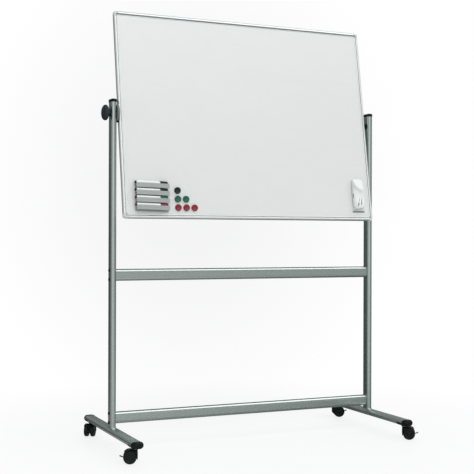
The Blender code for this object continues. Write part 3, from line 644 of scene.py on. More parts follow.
def foot_cap(side, end, sx, sy):
    node = f"{side}_{end}_foot_cap"
    lo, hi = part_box(node)
    x = sx * POST_X
    y_end = max(abs(lo.y), abs(hi.y))
    start = FOOT_TUBE_Y + 0.3 * MM
    y_in = min(abs(lo.y), abs(hi.y))
    bottom = lo.z
    t = 4.6 * MM
    grow = 2.2 * MM
    rows = [(y_in + 1 * MM, FOOT_W - t - 2.4 * MM, FOOT_H - t - 1 * MM), (y_in + 2 * MM, FOOT_W - t - 1.4 * MM, FOOT_H - t), (start, FOOT_W - t - 1.4 * MM, FOOT_H - t), (start, FOOT_W + grow - 0.8 * MM, FOOT_H + grow - 0.8 * MM), (start + 0.4 * MM, FOOT_W + grow, FOOT_H + grow)]
    nose = y_end - start - 1.5 * MM
    for k in range(15):
        a = radians(86 * k / 14)
        y = y_end - nose + nose * sin(a)
        c = cos(a)
        w = (FOOT_W + grow) * (0.14 + 0.86 * c)
        h = min((FOOT_H + grow) * (0.5 + 0.5 * sqrt(c)), w * 0.98)
        rows.append((y, w, h))
    bm = lofted([foot_ring(x, w, h, sy * y, 14) for y, w, h in rows])
    out, inn = [], []
    off = FOOT_W / 2 - FOOT_H / 2
    for k in range(9):
        a = pi + radians(3) + (pi / 2 - radians(3)) * k / 8
        out.append((-off - 0.11 * MM + (FOOT_H / 2 + 0.93 * MM) * cos(a), (FOOT_H / 2 + 0.93 * MM) * sin(a)))
        inn.append((-off - 0.11 * MM + (FOOT_H / 2 + 0.3 * MM) * cos(a), (FOOT_H / 2 + 0.3 * MM) * sin(a)))
    half = lambda pts: pts + [(-px, pz) for px, pz in reversed(pts)]
    outline = half(out) + list(reversed(half(inn)))
    cradle = lofted([[(x + px, sy * y, FOOT_Z + pz) for px, pz in outline] for y in (y_in, start + 1 * MM)])
    c = JOINT[f"{side}_{end}_swivel"]["pos_m"]
    z0 = FOOT_Z - FOOT_H / 2
    boss = lathed([(0, z0 - 0.72 * MM), (13.4 * MM, z0 - 0.72 * MM), (12.7 * MM, z0 - 1.6 * MM), (12.5 * MM, z0 - 2.6 * MM), (12.5 * MM, bottom + 0.5 * MM), (12.0 * MM, bottom), (0, bottom)], 40, 2, at=(c[0], c[1], 0))
    socket = prism(circle(5.8 * MM, 24, c[0], c[1]), bottom - 5 * MM, FOOT_Z + 7.1 * MM, 2)
    piece(f"{node}_moulding", bm, BLACK, "stand", (node,), joins=[cradle, boss], cuts=[socket], angle=40)


for side, sx in (("left", -1), ("right", 1)):
    foot(side, sx)
    for end, sy in (("front", -1), ("rear", 1)):
        foot_cap(side, end, sx, sy)


# ---------------------------------------------------------------- casters
WHEEL_R, TRAIL = 26.5 * MM, 21.5 * MM
HOOD_IN, HOOD_OUT, HOOD_HALF = 28.0 * MM, 30.0 * MM, 22.5 * MM
WHEEL_IN, WHEEL_OUT = 5.6 * MM, 22.5 * MM
BRAKE_X, BRAKE_Z, BRAKE_RISE = TRAIL + 14 * MM, 21 * MM, 22


def hood_outline():
    """Outer edge of the fender seen from the side, as points round the wheel's centre."""
    return arc(HOOD_OUT, 42, 105, 14, TRAIL, WHEEL_R) + fillet([(-4.5 * MM, 53.6 * MM), (-8.8 * MM, 50.0 * MM), (-9.8 * MM, 41 * MM), (-9.3 * MM, 24 * MM), (-8.4 * MM, 17 * MM)], 3 * MM, 3)[2:-2]


def caster(side, end):
    key = f"{side}_{end}"
    stem = Vector(JOINT[f"{key}_swivel"]["pos_m"])
    axis = Vector(JOINT[f"{key}_roll"]["axis"])
    fwd = Vector((axis.y, -axis.x, 0))
    M = Matrix(((fwd.x, axis.x, 0, stem.x), (fwd.y, axis.y, 0, stem.y), (0, 0, 1, 0), (0, 0, 0, 1)))
    body, wheels, brake = f"{key}_caster", f"{key}_wheel_pair", f"{key}_brake"
    neck_top = FOOT_Z - FOOT_H / 2 - 4.8 * MM

    # fender with turned-down side lips
    outer = hood_outline()
    inner = []
    for px, pz in outer:
        d = Vector((px - TRAIL, pz - WHEEL_R)).normalized()
        inner.append((TRAIL + d.x * HOOD_IN, WHEEL_R + d.y * HOOD_IN))
    half_w = [(-1.0, 0.0), (-0.985, 0.35), (-0.955, 0.72), (-0.90, 0.95), (-0.80, 1.0), (-0.4, 1.0), (0.0, 1.0), (0.4, 1.0), (0.80, 1.0), (0.90, 0.95), (0.955, 0.72), (0.985, 0.35), (1.0, 0.0)]
    rings = []
    for (ox, oz), (ix, iz) in zip(outer, inner):
        top = [(ix + (ox - ix) * (0.25 + 0.75 * f), w * HOOD_HALF, iz + (oz - iz) * (0.25 + 0.75 * f)) for w, f in half_w]
        low = [(ix, w * HOOD_HALF, iz) for w in (0.995, 0.0, -0.995)]
        rings.append(top + low)
    bm = lofted(rings)
    # web between the wheels and the brake's fork
    web = arc(HOOD_IN + 1 * MM, 46, 196, 26, TRAIL, WHEEL_R) + arc(8 * MM, 205, 285, 8, TRAIL, WHEEL_R) + arc(5.6 * MM, -95, 45, 12, BRAKE_X, BRAKE_Z)
    web_bm = prism([(z, x) for x, z in web], -4.6 * MM, 4.6 * MM, 1)
    neck = lathed(
        [(0, 52 * MM), (9.5 * MM, 52 * MM), (9.5 * MM, 55.6 * MM), (8.9 * MM, 56.0 * MM), (8.9 * MM, neck_top - 0.9 * MM), (8.4 * MM, neck_top - 0.3 * MM), (5.5 * MM, neck_top), (5.5 * MM, 79.8 * MM), (4 * MM, 81.3 * MM), (0, 81.3 * MM)],
        36,
        2,
    )
    bore = prism(circle(3.35 * MM, 28, WHEEL_R, TRAIL), -8 * MM, 8 * MM, 1)
    slot = arc(5.0 * MM, 90, 270, 10, BRAKE_X, BRAKE_Z) + [(BRAKE_X + 14 * MM, BRAKE_Z - 5 * MM), (BRAKE_X + 14 * MM, BRAKE_Z + 14 * MM), (BRAKE_X + 2 * MM, BRAKE_Z + 7.5 * MM)]
    slot_bm = prism([(z, x) for x, z in slot], -2.7 * MM, 2.7 * MM, 1)
    piece(f"caster_{key}_hood", bm, BLACK, body, (f"caster_{key}_housing",), M, joins=[web_bm, neck], cuts=[bore, slot_bm], angle=38)
    # pin of the lever
    piece(f"caster_{key}_brake_pin", lathed([(0, -4.9 * MM), (1.2 * MM, -4.9 * MM), (1.5 * MM, -4.6 * MM), (1.5 * MM, 4.6 * MM), (1.2 * MM, 4.9 * MM), (0, 4.9 * MM)], 20, 1, at=(BRAKE_X, 0, BRAKE_Z)), ZINC, body, (), M)
    # swivel's bearing ring
    piece(f"caster_{key}_swivel_ring", lathed([(8.95 * MM, 56.3 * MM), (10.6 * MM, 56.3 * MM), (10.9 * MM, 56.6 * MM), (10.9 * MM, neck_top - 0.15 * MM), (8.95 * MM, neck_top - 0.15 * MM), (8.95 * MM, 56.3 * MM)][:-1], 36, 2), ZINC, body, (), M)

    # two wheels, each with crowned tread, stepped face and hub
    def wheel(sgn):
        rim = [
            (AX, WHEEL_IN), (10 * MM, WHEEL_IN), (10.6 * MM, WHEEL_IN + 0.6 * MM), (20.6 * MM, WHEEL_IN + 0.6 * MM), (21.2 * MM, WHEEL_IN), (24.0 * MM, WHEEL_IN),
            (25.1 * MM, WHEEL_IN + 0.5 * MM), (25.9 * MM, WHEEL_IN + 1.5 * MM), (26.4 * MM, WHEEL_IN + 3.2 * MM), (26.5 * MM, WHEEL_IN + 5.5 * MM),
            (26.5 * MM, WHEEL_OUT - 5.8 * MM), (26.35 * MM, WHEEL_OUT - 3.6 * MM), (25.8 * MM, WHEEL_OUT - 2.1 * MM), (24.9 * MM, WHEEL_OUT - 1.0 * MM), (23.6 * MM, WHEEL_OUT - 0.3 * MM), (22.4 * MM, WHEEL_OUT),
            (21.7 * MM, WHEEL_OUT - 0.1 * MM), (21.1 * MM, WHEEL_OUT - 0.7 * MM), (20.8 * MM, WHEEL_OUT - 1.6 * MM), (20.2 * MM, WHEEL_OUT - 2.2 * MM),
            (15.0 * MM, WHEEL_OUT - 2.5 * MM), (14.4 * MM, WHEEL_OUT - 2.0 * MM), (13.6 * MM, WHEEL_OUT - 1.7 * MM), (12.8 * MM, WHEEL_OUT - 2.0 * MM), (12.2 * MM, WHEEL_OUT - 2.6 * MM),
            (8.6 * MM, WHEEL_OUT - 2.6 * MM), (8.1 * MM, WHEEL_OUT - 1.6 * MM), (7.3 * MM, WHEEL_OUT - 1.0 * MM), (4.2 * MM, WHEEL_OUT - 0.8 * MM), (3.4 * MM, WHEEL_OUT - 1.4 * MM), (0, WHEEL_OUT - 1.6 * MM),
        ]
        return [(r, sgn * h) for r, h in rim]

    AX = 3.05 * MM
    centre = (TRAIL, 0, WHEEL_R)
    for tag, sgn in (("outer", 1), ("inner", -1)):
        prof = [(0, sgn * (WHEEL_IN + 0.0 * MM))] + wheel(sgn)
        bm = lathed(prof, 64, 1, at=centre)
        p = piece(f"caster_{key}_wheel_{tag}", bm, NYLON, wheels, (f"caster_{key}_wheels",) if tag == "outer" else (), M, angle=40)
    piece(f"caster_{key}_axle", lathed([(0, -WHEEL_IN - 0.4 * MM), (3.0 * MM, -WHEEL_IN - 0.4 * MM), (3.0 * MM, WHEEL_IN + 0.4 * MM), (0, WHEEL_IN + 0.4 * MM)], 28, 1, at=centre), ZINC, wheels, (), M)

    # brake lever: eye, arm, and a ribbed, slightly dished pedal
    H = M @ Matrix.Translation((BRAKE_X, 0, BRAKE_Z)) @ Matrix.Rotation(-radians(BRAKE_RISE), 4, "Y")
    arm = arc(4.2 * MM, 20, 340, 22) + [(16.8 * MM, -1.3 * MM), (16.8 * MM, 1.3 * MM)]
    bm = prism([(z, x) for x, z in arm], -2.2 * MM, 2.2 * MM, 1)
    tip = 28.6 * MM
    rows = []
    n = 16
    for k in range(n + 1):
        t = k / n
        x = 15.0 * MM + (tip - 15.0 * MM) * t
        w = 7.0 * MM * min(1.0, (0.62 + 1.5 * t)) * (1.0 if t < 0.8 else sqrt(max(0.0, 1 - ((t - 0.8) / 0.2) ** 2 * 0.62)))
        th = 1.25 * MM * (1.0 if t < 0.9 else 1 - 1.2 * (t - 0.9))
        rib = 0.35 * MM if 0.22 < t < 0.92 and k % 2 == 0 else 0.0
        rows.append([(x, -w, -th * 0.6), (x, -w, th * 0.6), (x, -w * 0.86, th), (x, -w * 0.8, th + rib), (x, w * 0.8, th + rib), (x, w * 0.86, th), (x, w, th * 0.6), (x, w, -th * 0.6), (x, w * 0.86, -th), (x, -w * 0.86, -th)])
    pedal = lofted(rows)
    eye = prism(circle(1.9 * MM, 20), -4 * MM, 4 * MM, 1)
    piece(f"caster_{key}_pedal", bm, BLACK, brake, (f"caster_{key}_brake_lever",), H, joins=[pedal], cuts=[eye], angle=32)


for side in ("left", "right"):
    for end in ("front", "rear"):
        caster(side, end)

# ================================================================ board
HALF_W, HALF_H = 0.600, 0.450
DEPTH = 11.2 * MM
FACE_W = 18 * MM
WEB = 2.0 * MM
SLOT = 8.1 * MM  # half of the channel's mouth
SHEET_OUT = 7.8 * MM
CORNER_LEG, CORNER_R = 21 * MM, 11 * MM


def frame_section(grow=0.0):
    """Channel section, (in from the outer edge, depth): convex face, recess for the seal, inner bead."""
    front = [(9.0 - 9.0 * cos(radians(a)), 3.5 + 7.7 * sin(radians(a))) for a in (0, 9, 18, 27, 36, 45, 54, 63, 72, 81, 90)] + [(9.7, 11.1), (10.3, 10.8), (10.8, 10.2)]
    front += [(11.1, 9.4), (11.2, 8.75), (11.4, 8.6), (15.4, 8.6), (15.7, 8.8), (15.9, 9.3), (16.3, 9.6), (17.0, 9.65), (17.6, 9.5), (17.9, 9.1), (18.0, 8.6)]
    pts = [(p * MM, -(q * MM + (grow if p < 15 else 0))) for p, q in front]
    back = [(p, -q) for p, q in reversed(pts)]
    s, f = SLOT, FACE_W
    return back + pts + [(f, -s), (WEB, -s), (WEB, s), (f, s)]


def profile(edge):
    node = f"frame_{edge}_profile"
    sect = frame_section()
    if edge in ("top", "bottom"):
        s = 1 if edge == "top" else -1
        L = HALF_W - CORNER_LEG - 0.3 * MM
        rings = [[(t, q, s * (HALF_H - p)) for p, q in sect] for t in (-L, L)]
        mat, cuts = ALU[0], []
    else:
        s = 1 if edge == "right" else -1
        L = HALF_H - CORNER_LEG - 0.3 * MM
        rings = [[(s * (HALF_W - p), q, t) for p, q in sect] for t in (-L, L)]
        mat = ALU[2]
        cuts = [prism(circle(5.4 * MM, 28), *sorted((s * (HALF_W - 19 * MM), s * (HALF_W + 10 * MM))), 0)]
    piece(f"frame_{edge}_extrusion", lofted(rings), mat, "board", (node,), BOARD_M, cuts=cuts, angle=32)


for edge in ("top", "bottom", "left", "right"):
    profile(edge)


def corner(vert, side, sx, sz):
    """Corner cap: the frame's section carried round the corner, a touch proud of the extrusions."""
    sect = frame_section(0.25 * MM)
    stations = [("h", 0.0)] + [("c", a) for a in [90 * k / 12 for k in range(13)]] + [("v", 0.0)]
    rings = []
    for kind, a in stations:
        row = []
        for p, q in sect:
            if kind == "h":
                u, v = -(CORNER_LEG - CORNER_R), CORNER_R - p
            elif kind == "v":
                u, v = CORNER_R - p, -(CORNER_LEG - CORNER_R)
            elif p < CORNER_R:
                th = radians(90 - a)
                u, v = (CORNER_R - p) * cos(th), (CORNER_R - p) * sin(th)
            else:
                u = v = CORNER_R - p
            row.append((sx * (HALF_W - CORNER_R + u), q, sz * (HALF_H - CORNER_R + v)))
        rings.append(row)
    bm = lofted(rings)
    bmesh.ops.remove_doubles(bm, verts=bm.verts, dist=1e-6)
    bmesh.ops.dissolve_degenerate(bm, dist=1e-7, edges=bm.edges)
    piece(f"frame_corner_{vert}_{side}_cap", bm, CORNER, "board", (f"frame_corner_{vert}_{side}",), BOARD_M, angle=35)


for vert, sz in (("top", 1), ("bottom", -1)):
    for side, sx in (("left", -1), ("right", 1)):
        corner(vert, side, sx, sz)

for n, m in (("board_front_sheet", LACQUER), ("board_rear_sheet", LACQUER), ("board_core", CORE)):
    o = frame["nodes"][n]
    o.data.materials.clear()
    o.data.materials.append(m)

# grey rubber seal in the recess round each side of the frame; its dark tone partly paints the shadow gap at the frame's
# lip
for name, sy in (("front", -1), ("rear", 1)):
    rings = []
    for p, q in ((11.35, 8.63), (13.7, 8.63), (13.7, 8.95), (13.45, 9.15), (11.6, 9.15), (11.35, 8.95)):
        u, v = HALF_W - (p - 0.7 if p > 13 else p) * MM, HALF_H - p * MM
        # along the top the seal reaches 1.6 mm further in, painting the shadow of the top lip on the sheet
        top_painted_shadow_width = 1.6 * MM if p > 13 else 0.0
        rings.append([(a * u, sy * q * MM, v - top_painted_shadow_width if b > 0 else -v) for a, b in ((-1, -1), (1, -1), (1, 1), (-1, 1))])
    bm = bmesh.new()
    made = [ring(bm, r) for r in rings]
    for a, b in zip(made, made[1:] + made[:1]):
        skin(bm, a, b)
    piece(f"{name}_gasket", bm, GREY_SEAL_AND_PAINTED_SHADE, "board", (), BOARD_M, angle=50)

# ---------------------------------------------------------------- pivots
POST_IN, POST_OUT = POST_X - TUBE_W / 2, POST_X + TUBE_W / 2
d0, d1 = HALF_W + 0.3 * MM, POST_IN - 0.5 * MM
R = 36 * MM
prof = [(5.4 * MM, -d0), (R - 2.0 * MM, -d0), (R - 0.6 * MM, -d0 - 0.4 * MM), (R, -d0 - 1.3 * MM), (R, -d0 - 2.6 * MM), (R - 0.7 * MM, -d0 - 2.9 * MM), (R - 0.7 * MM, -d0 - 3.5 * MM), (R, -d0 - 3.8 * MM), (R, -d1 + 1.3 * MM), (R - 0.6 * MM, -d1 + 0.4 * MM), (R - 2.0 * MM, -d1), (5.4 * MM, -d1)]
bm = bmesh.new()
rings = [ring(bm, [(h, r * cos(2 * pi * k / 72), r * sin(2 * pi * k / 72)) for k in range(72)]) for r, h in prof]
for a, b in zip(rings, rings[1:] + rings[:1]):
    skin(bm, a, b)
piece("left_clutch_plate", bm, DISC, "board", ("left_clutch_disc",), BOARD_M, angle=30)

# small dark stop under the clutch plate
bm = box_of((-d1 + 0.2 * MM, -11 * MM, -41.5 * MM), (-d0 - 0.2 * MM, -1 * MM, -35.2 * MM))
piece("left_clutch_stop", bm, BLACK, "board", (), BOARD_M, bevel=1.1 * MM, segments=3)

lo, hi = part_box("left_pivot_stud")
bm = lathed([(0, lo.x), (4.2 * MM, lo.x), (5.0 * MM, lo.x + 0.8 * MM), (5.0 * MM, hi.x - 0.8 * MM), (4.2 * MM, hi.x), (0, hi.x)], 36, 0)
piece("left_pivot_pin", bm, ZINC, "board", ("left_pivot_stud",), BOARD_M)

# hand knob: fluted rim, domed outer face with a recessed disc, short hub
kx = POST_OUT + 0.8 * MM
KR = 33 * MM
prof = [
    (5.4 * MM, kx + 23.0 * MM), (5.4 * MM, kx), (13.2 * MM, kx), (14.5 * MM, kx + 0.8 * MM), (14.2 * MM, kx + 5.0 * MM), (15.6 * MM, kx + 6.6 * MM),
    (20.5 * MM, kx + 8.0 * MM), (25.6 * MM, kx + 9.6 * MM), (29.2 * MM, kx + 11.4 * MM), (31.4 * MM, kx + 13.4 * MM), (32.5 * MM, kx + 15.4 * MM), (KR, kx + 17.4 * MM), (KR, kx + 20.0 * MM),
    (32.5 * MM, kx + 22.0 * MM), (31.4 * MM, kx + 24.0 * MM), (29.6 * MM, kx + 26.2 * MM), (27.0 * MM, kx + 28.4 * MM), (23.0 * MM, kx + 30.4 * MM), (19.5 * MM, kx + 31.6 * MM), (18.9 * MM, kx + 31.4 * MM), (18.4 * MM, kx + 30.9 * MM), (17.8 * MM, kx + 31.1 * MM), (17.2 * MM, kx + 31.9 * MM), (10 * MM, kx + 33.0 * MM), (0, kx + 33.5 * MM),
]
flutes = 18


def knob_wave(a, r, h):
    if r < 28 * MM or -h < kx + 7.5 * MM:
        return 1.0
    c = 0.5 + 0.5 * cos(flutes * a)
    depth = 0.055 * max(0.0, 1 - abs((-h - (kx + 18.5 * MM)) / (8.5 * MM)) ** 3)
    return 1 - depth * (1 - c) ** 2.2


bm = lathed([(r, -h) for r, h in reversed(prof)] + [(0, -(kx + 23.0 * MM))], 144, 0, knob_wave)
piece("clamp_knob_grip", bm, KNOB_BLACK, "clamp_knob_body", ("clamp_knob",), BOARD_M, angle=34)

# right stud with a socket button head, and its bush
lo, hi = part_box("right_pivot_stud")
prof = [(0, lo.x), (4.4 * MM, lo.x), (5 * MM, lo.x + 0.6 * MM), (5 * MM, POST_OUT + 0.8 * MM), (8.7 * MM, POST_OUT + 0.8 * MM), (9 * MM, POST_OUT + 1.1 * MM), (9 * MM, POST_OUT + 2.8 * MM), (8.5 * MM, POST_OUT + 4.2 * MM), (7.2 * MM, POST_OUT + 5.4 * MM), (5.4 * MM, POST_OUT + 6.1 * MM), (4.6 * MM, hi.x), (0, hi.x)]
bm = lathed(prof, 40, 0)
cut = prism(circle(3.0 * MM, 6, 0, 0, 0.5), hi.x - 3.2 * MM, hi.x + 2 * MM, 0)
piece("right_pivot_bolt", bm, BOLT, "board", ("right_pivot_stud",), BOARD_M, cuts=[cut], angle=30)
lo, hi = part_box("right_spacer_bush")
bm = bmesh.new()
b0, b1 = HALF_W + 0.3 * MM, POST_IN - 0.5 * MM
prof = [(5.4 * MM, b0), (12.4 * MM, b0), (13 * MM, b0 + 0.6 * MM), (13 * MM, b1 - 0.6 * MM), (12.4 * MM, b1), (5.4 * MM, b1)]
rings = [ring(bm, [(h, r * cos(2 * pi * k / 40), r * sin(2 * pi * k / 40)) for k in range(40)]) for r, h in prof]
for a, b in zip(rings, rings[1:] + rings[:1]):
    skin(bm, a, b)
piece("right_spacer", bm, BLACK, "board", ("right_spacer_bush",), BOARD_M, angle=30)

# ---------------------------------------------------------------- pen rack and markers
FACE = SHEET_OUT + 0.3 * MM
HU, HV, HW, HH = -0.4715, -0.3570, 0.147, 0.130
HANG = 1.6
MARKER_V = (-0.3005, -0.3320, -0.3635, -0.3950)
U0, U1 = -0.549, -0.404
MR = 8.8 * MM
RACK_M = BOARD_M @ Matrix.Translation((HU, 0, HV)) @ Matrix.Rotation(radians(HANG), 4, "Y")

plate = fillet([(-HW / 2, -HH / 2), (HW / 2, -HH / 2), (HW / 2, HH / 2), (-HW / 2, HH / 2)], 3 * MM, 5)
bm = lofted([[(p * f, -y, q * f) for p, q in plate] for y, f in ((FACE, 1.0), (FACE + 1.7 * MM, 1.0), (FACE + 2.2 * MM, 0.995))])
joins = []
MN = FACE + 2.2 * MM + 0.3 * MM + MR
lip = MN + MR + 0.3 * MM
for v in MARKER_V:
    z1, z2 = v - HV - MR - 0.3 * MM, v - HV - 2.9 * MM
    z0, x, t = z1 - 2.2 * MM, HW / 2 - 0.6 * MM, 1.4 * MM
    zs = v - HV - 22.1 * MM
    sect = [(FACE + 1 * MM, z0 + 0.3 * MM), (FACE + 1.6 * MM, z0), (lip - 0.6 * MM, z0), (lip, z0 - 0.6 * MM)]
    sect += [(lip, zs + 0.4 * MM), (lip + 0.35 * MM, zs), (lip + t - 0.55 * MM, zs), (lip + t - 0.12 * MM, zs + 0.3 * MM), (lip + t, zs + 0.9 * MM)]
    sect += [(lip + t, z0 + 0.2 * MM), (lip + t - 0.35 * MM, z0 + 0.6 * MM), (lip + t - 0.35 * MM, z0 + 1.1 * MM), (lip + t, z0 + 1.5 * MM)]
    sect += [(lip + t, z2 - 0.9 * MM), (lip + t - 0.15 * MM, z2 - 0.25 * MM), (lip + t - 0.6 * MM, z2), (lip + 0.3 * MM, z2), (lip, z2 - 0.4 * MM)]
    sect += [(lip, z1 + 1.4 * MM), (lip - 0.4 * MM, z1 + 0.4 * MM), (lip - 1.4 * MM, z1), (FACE + 1 * MM, z1)]
    joins.append(lofted([[(a * x, -q, z) for q, z in sect] for a in (-1, 1)]))
piece("pen_rack", bm, RACK_GREY, "board", ("marker_holder",), RACK_M, joins=joins, angle=32)

for label, ink, v in (("black_1", "black", MARKER_V[0]), ("black_2", "black", MARKER_V[1]), ("green", "green", MARKER_V[2]), ("red", "red", MARKER_V[3])):
    L = U1 - U0
    M = RACK_M @ Matrix.Translation((U0 - HU, -MN, v - HV))
    body = f"marker_{label}_body"
    br = MR - 0.6 * MM
    barrel = [(0, 1.2 * MM), (5.0 * MM, 1.2 * MM), (5.0 * MM, 7.0 * MM), (6.6 * MM, 7.0 * MM), (7.4 * MM, 7.4 * MM), (7.9 * MM, 8.4 * MM), (br, 10 * MM), (br, 40 * MM), (br, L - 36.5 * MM), (7.6 * MM, L - 36.1 * MM), (7.6 * MM, L - 30 * MM), (0, L - 30 * MM)]
    piece(f"marker_{label}_barrel", lathed(barrel, 48, 0), WHITE, body, (f"marker_{label}",), M, angle=35)
    plug = [(0, 0), (4.4 * MM, 0), (5.2 * MM, 0.3 * MM), (5.8 * MM, 1.2 * MM), (6.0 * MM, 2.4 * MM), (6.0 * MM, 6.4 * MM), (5.6 * MM, 6.9 * MM), (5.1 * MM, 6.9 * MM), (5.1 * MM, 4 * MM), (0, 4 * MM)]
    piece(f"marker_{label}_plug", lathed(plug, 40, 0), INK[{"black": "black"}.get(ink, "dark " + ink)], body, (), M, angle=35)
    cap = [(0, L - 29.6 * MM), (7.75 * MM, L - 29.6 * MM), (7.75 * MM, L - 34.6 * MM), (8.3 * MM, L - 35.0 * MM), (MR, L - 34.4 * MM), (MR, L - 27 * MM), (8.45 * MM, L - 26.2 * MM), (8.45 * MM, L - 3.2 * MM), (8.2 * MM, L - 1.6 * MM), (7.4 * MM, L - 0.5 * MM), (6.2 * MM, L), (0, L)]
    dense = []
    for (r0, h0), (r1, h1) in zip(cap, cap[1:]):
        steps = 1
        dense.append((r0, h0))
    dense.append(cap[-1])

    def ribs(a, r, h, L=L):
        return 1 - (0.035 * (0.5 - 0.5 * cos(16 * a)) ** 2 if (L - 26.3 * MM) <= h <= (L - 3.1 * MM) and r > 8 * MM else 0.0)

    piece(f"marker_{label}_cap", lathed(dense, 96, 0, ribs), INK[ink], body, (), M, angle=32)

# ---------------------------------------------------------------- magnets
for n, ink in (("magnet_black", "black"), ("magnet_green_1", "green"), ("magnet_green_2", "green"), ("magnet_red_1", "red"), ("magnet_red_2", "red"), ("magnet_red_3", "red")):
    lo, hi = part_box(n)
    c = BOARD_M.inverted() @ ((lo + hi) / 2)
    r, T = 14.5 * MM, 8 * MM
    prof = [(0, -FACE), (13.9 * MM, -FACE), (r, -FACE - 0.5 * MM), (r, -FACE - 2.0 * MM), (14.1 * MM, -FACE - 5.2 * MM), (13.7 * MM, -FACE - 6.4 * MM), (12.9 * MM, -FACE - 7.5 * MM), (11.7 * MM, -FACE - T), (10.8 * MM, -FACE - 7.9 * MM), (10.0 * MM, -FACE - 7.4 * MM), (8.6 * MM, -FACE - 6.9 * MM), (5 * MM, -FACE - 6.6 * MM), (0, -FACE - 6.5 * MM)]
    piece(f"{n}_disc", lathed(prof, 56, 1, at=(c.x, 0, c.z)), INK[ink], f"{n}_body", (n,), BOARD_M, angle=40)

# ---------------------------------------------------------------- eraser
EU, EV, EW, EH, ET = 0.5255, -0.329, 0.054, 0.138, 0.032


def eraser_ring(depth, sx, sz, waist, power=0.36, n=64, lean=0.0):
    pts = []
    for k in range(n):
        a = 2 * pi * k / n
        c, s = cos(a), sin(a)
        px = abs(c) ** power * (1 if c >= 0 else -1)
        pz = abs(s) ** power * (1 if s >= 0 else -1)
        pinch = 1 - waist * (1 - min(1.0, abs(pz)) ** 2)
        pts.append((EU + px * (EW / 2 * sx) * pinch + lean * pz, -depth, EV + pz * EH / 2 * sz))
    return pts


felt = [eraser_ring(FACE, 0.955, 0.985, 0.0), eraser_ring(FACE + 0.4 * MM, 0.97, 0.99, 0.0), eraser_ring(FACE + 5.4 * MM, 0.97, 0.99, 0.0), eraser_ring(FACE + 5.8 * MM, 0.955, 0.985, 0.0)]
piece("eraser_felt_pad", lofted(felt), FELT, "eraser_body", (), BOARD_M, angle=50)


def eraser_height(u, v):
    """Height of the back in mm: a ridge that sweeps down from the upper left, a hollow under it, two finger grooves at the lower end."""
    rid = 22 - 0.62 * u + 0.012 * u * u
    d = v - rid
    if d > 0:
        h = 15.5 + 15.5 * 2.718281828 ** (-((d / 27) ** 2))
    else:
        h = 22.5 + 8.5 * 2.718281828 ** (-((d / 13) ** 2))
    low = max(0.0, min(1.0, (-16 - v) / 30))
    h += 3.5 * low * low * (3 - 2 * low)
    side = max(0.0, min(1.0, (-u - 6) / 20))
    h -= 7.0 * side * side
    for (u0, v0), (u1, v1), width in (((1.5, -22.0), (-11.0, -60.0), 4.4), ((12.5, -21.0), (4.5, -60.0), 4.2)):
        t = max(0.0, min(1.0, ((u - u0) * (u1 - u0) + (v - v0) * (v1 - v0)) / ((u1 - u0) ** 2 + (v1 - v0) ** 2)))
        gap = sqrt((u - u0 - t * (u1 - u0)) ** 2 + (v - v0 - t * (v1 - v0)) ** 2)
        h -= 3.0 * 2.718281828 ** (-((gap / width) ** 2))
    return h


bm = bmesh.new()
rows = []
N = 120
for depth, grow in ((6.0, 0.985), (6.4, 1.0), (9.5, 1.0)):
    rows.append(ring(bm, eraser_ring(FACE + depth * MM, grow, grow, 0.0, 0.3, N)))
for f, round_off in ((0.995, 0.42), (0.975, 0.62), (0.945, 0.78), (0.905, 0.89), (0.86, 0.96), (0.81, 0.99), (0.75, 1.0), (0.69, 1.0), (0.63, 1.0), (0.57, 1.0), (0.51, 1.0), (0.45, 1.0), (0.39, 1.0), (0.33, 1.0), (0.27, 1.0), (0.21, 1.0), (0.15, 1.0), (0.09, 1.0), (0.04, 1.0)):
    pts = []
    for x, y, z in eraser_ring(0.0, f, f, 0.0, 0.3 + 0.12 * (1 - f), N):
        h = eraser_height((x - EU) / MM, (z - EV) / MM)
        pts.append((x, -(FACE + (10.0 + (h - 10.0) * round_off) * MM), z))
    rows.append(ring(bm, pts))
for a, b in zip(rows, rows[1:]):
    skin(bm, a, b)
bm.faces.new(rows[0])
bm.faces.new(rows[-1])
slot = box_of((EU - EW / 2 - 3 * MM, -(FACE + 15.0 * MM), EV - 19.0 * MM), (EU - EW / 2 + 3.2 * MM, -(FACE + 8.2 * MM), EV + 1.0 * MM))
piece("eraser_shell", bm, ERASER_WHITE, "eraser_body", ("eraser",), BOARD_M, cuts=[slot], angle=48)
# soft grey inlays at the floor of the two grooves, and a dark inlay in the side slot that paints the slot's shade
for tag, ((u0, v0), (u1, v1), w) in {"a": ((1.3, -22.5), (-10.6, -58.5), 3.6), "b": ((12.4, -21.5), (4.8, -58.5), 3.4)}.items():
    rings = []
    for k in range(25):
        t = k / 24
        u, v = u0 + (u1 - u0) * t, v0 + (v1 - v0) * t
        half = w * sqrt(max(0.02, 1 - (2 * t - 1) ** 6)) * (0.45 + 0.55 * t)
        under = min(eraser_height(u + q * half, v) for q in (-1, 0, 1)) - 1.2
        row = [((EU + (u + q * half) * MM), -(FACE + under * MM), EV + v * MM) for q in (-1, 1)]
        row += [((EU + (u + q * half) * MM), -(FACE + (eraser_height(u + q * half, v) + 0.42 - 0.3 * abs(q) ** 3) * MM), EV + v * MM) for q in (1, 0.7, 0.35, 0, -0.35, -0.7, -1)]
        rings.append(row)
    piece(f"eraser_grip_{tag}", lofted(rings), GRIP_GREY, "eraser_body", (), BOARD_M, angle=50)
# dark inlay deep in the side slot: painted shade
piece("eraser_side_slot_painted_shade", box_of((EU - EW / 2 + 1.6 * MM, -(FACE + 14.6 * MM), EV - 18.6 * MM), (EU - EW / 2 + 3.0 * MM, -(FACE + 8.6 * MM), EV + 0.6 * MM)), GREY_SEAL_AND_PAINTED_SHADE, "eraser_body", (), BOARD_M, bevel=0.4 * MM)

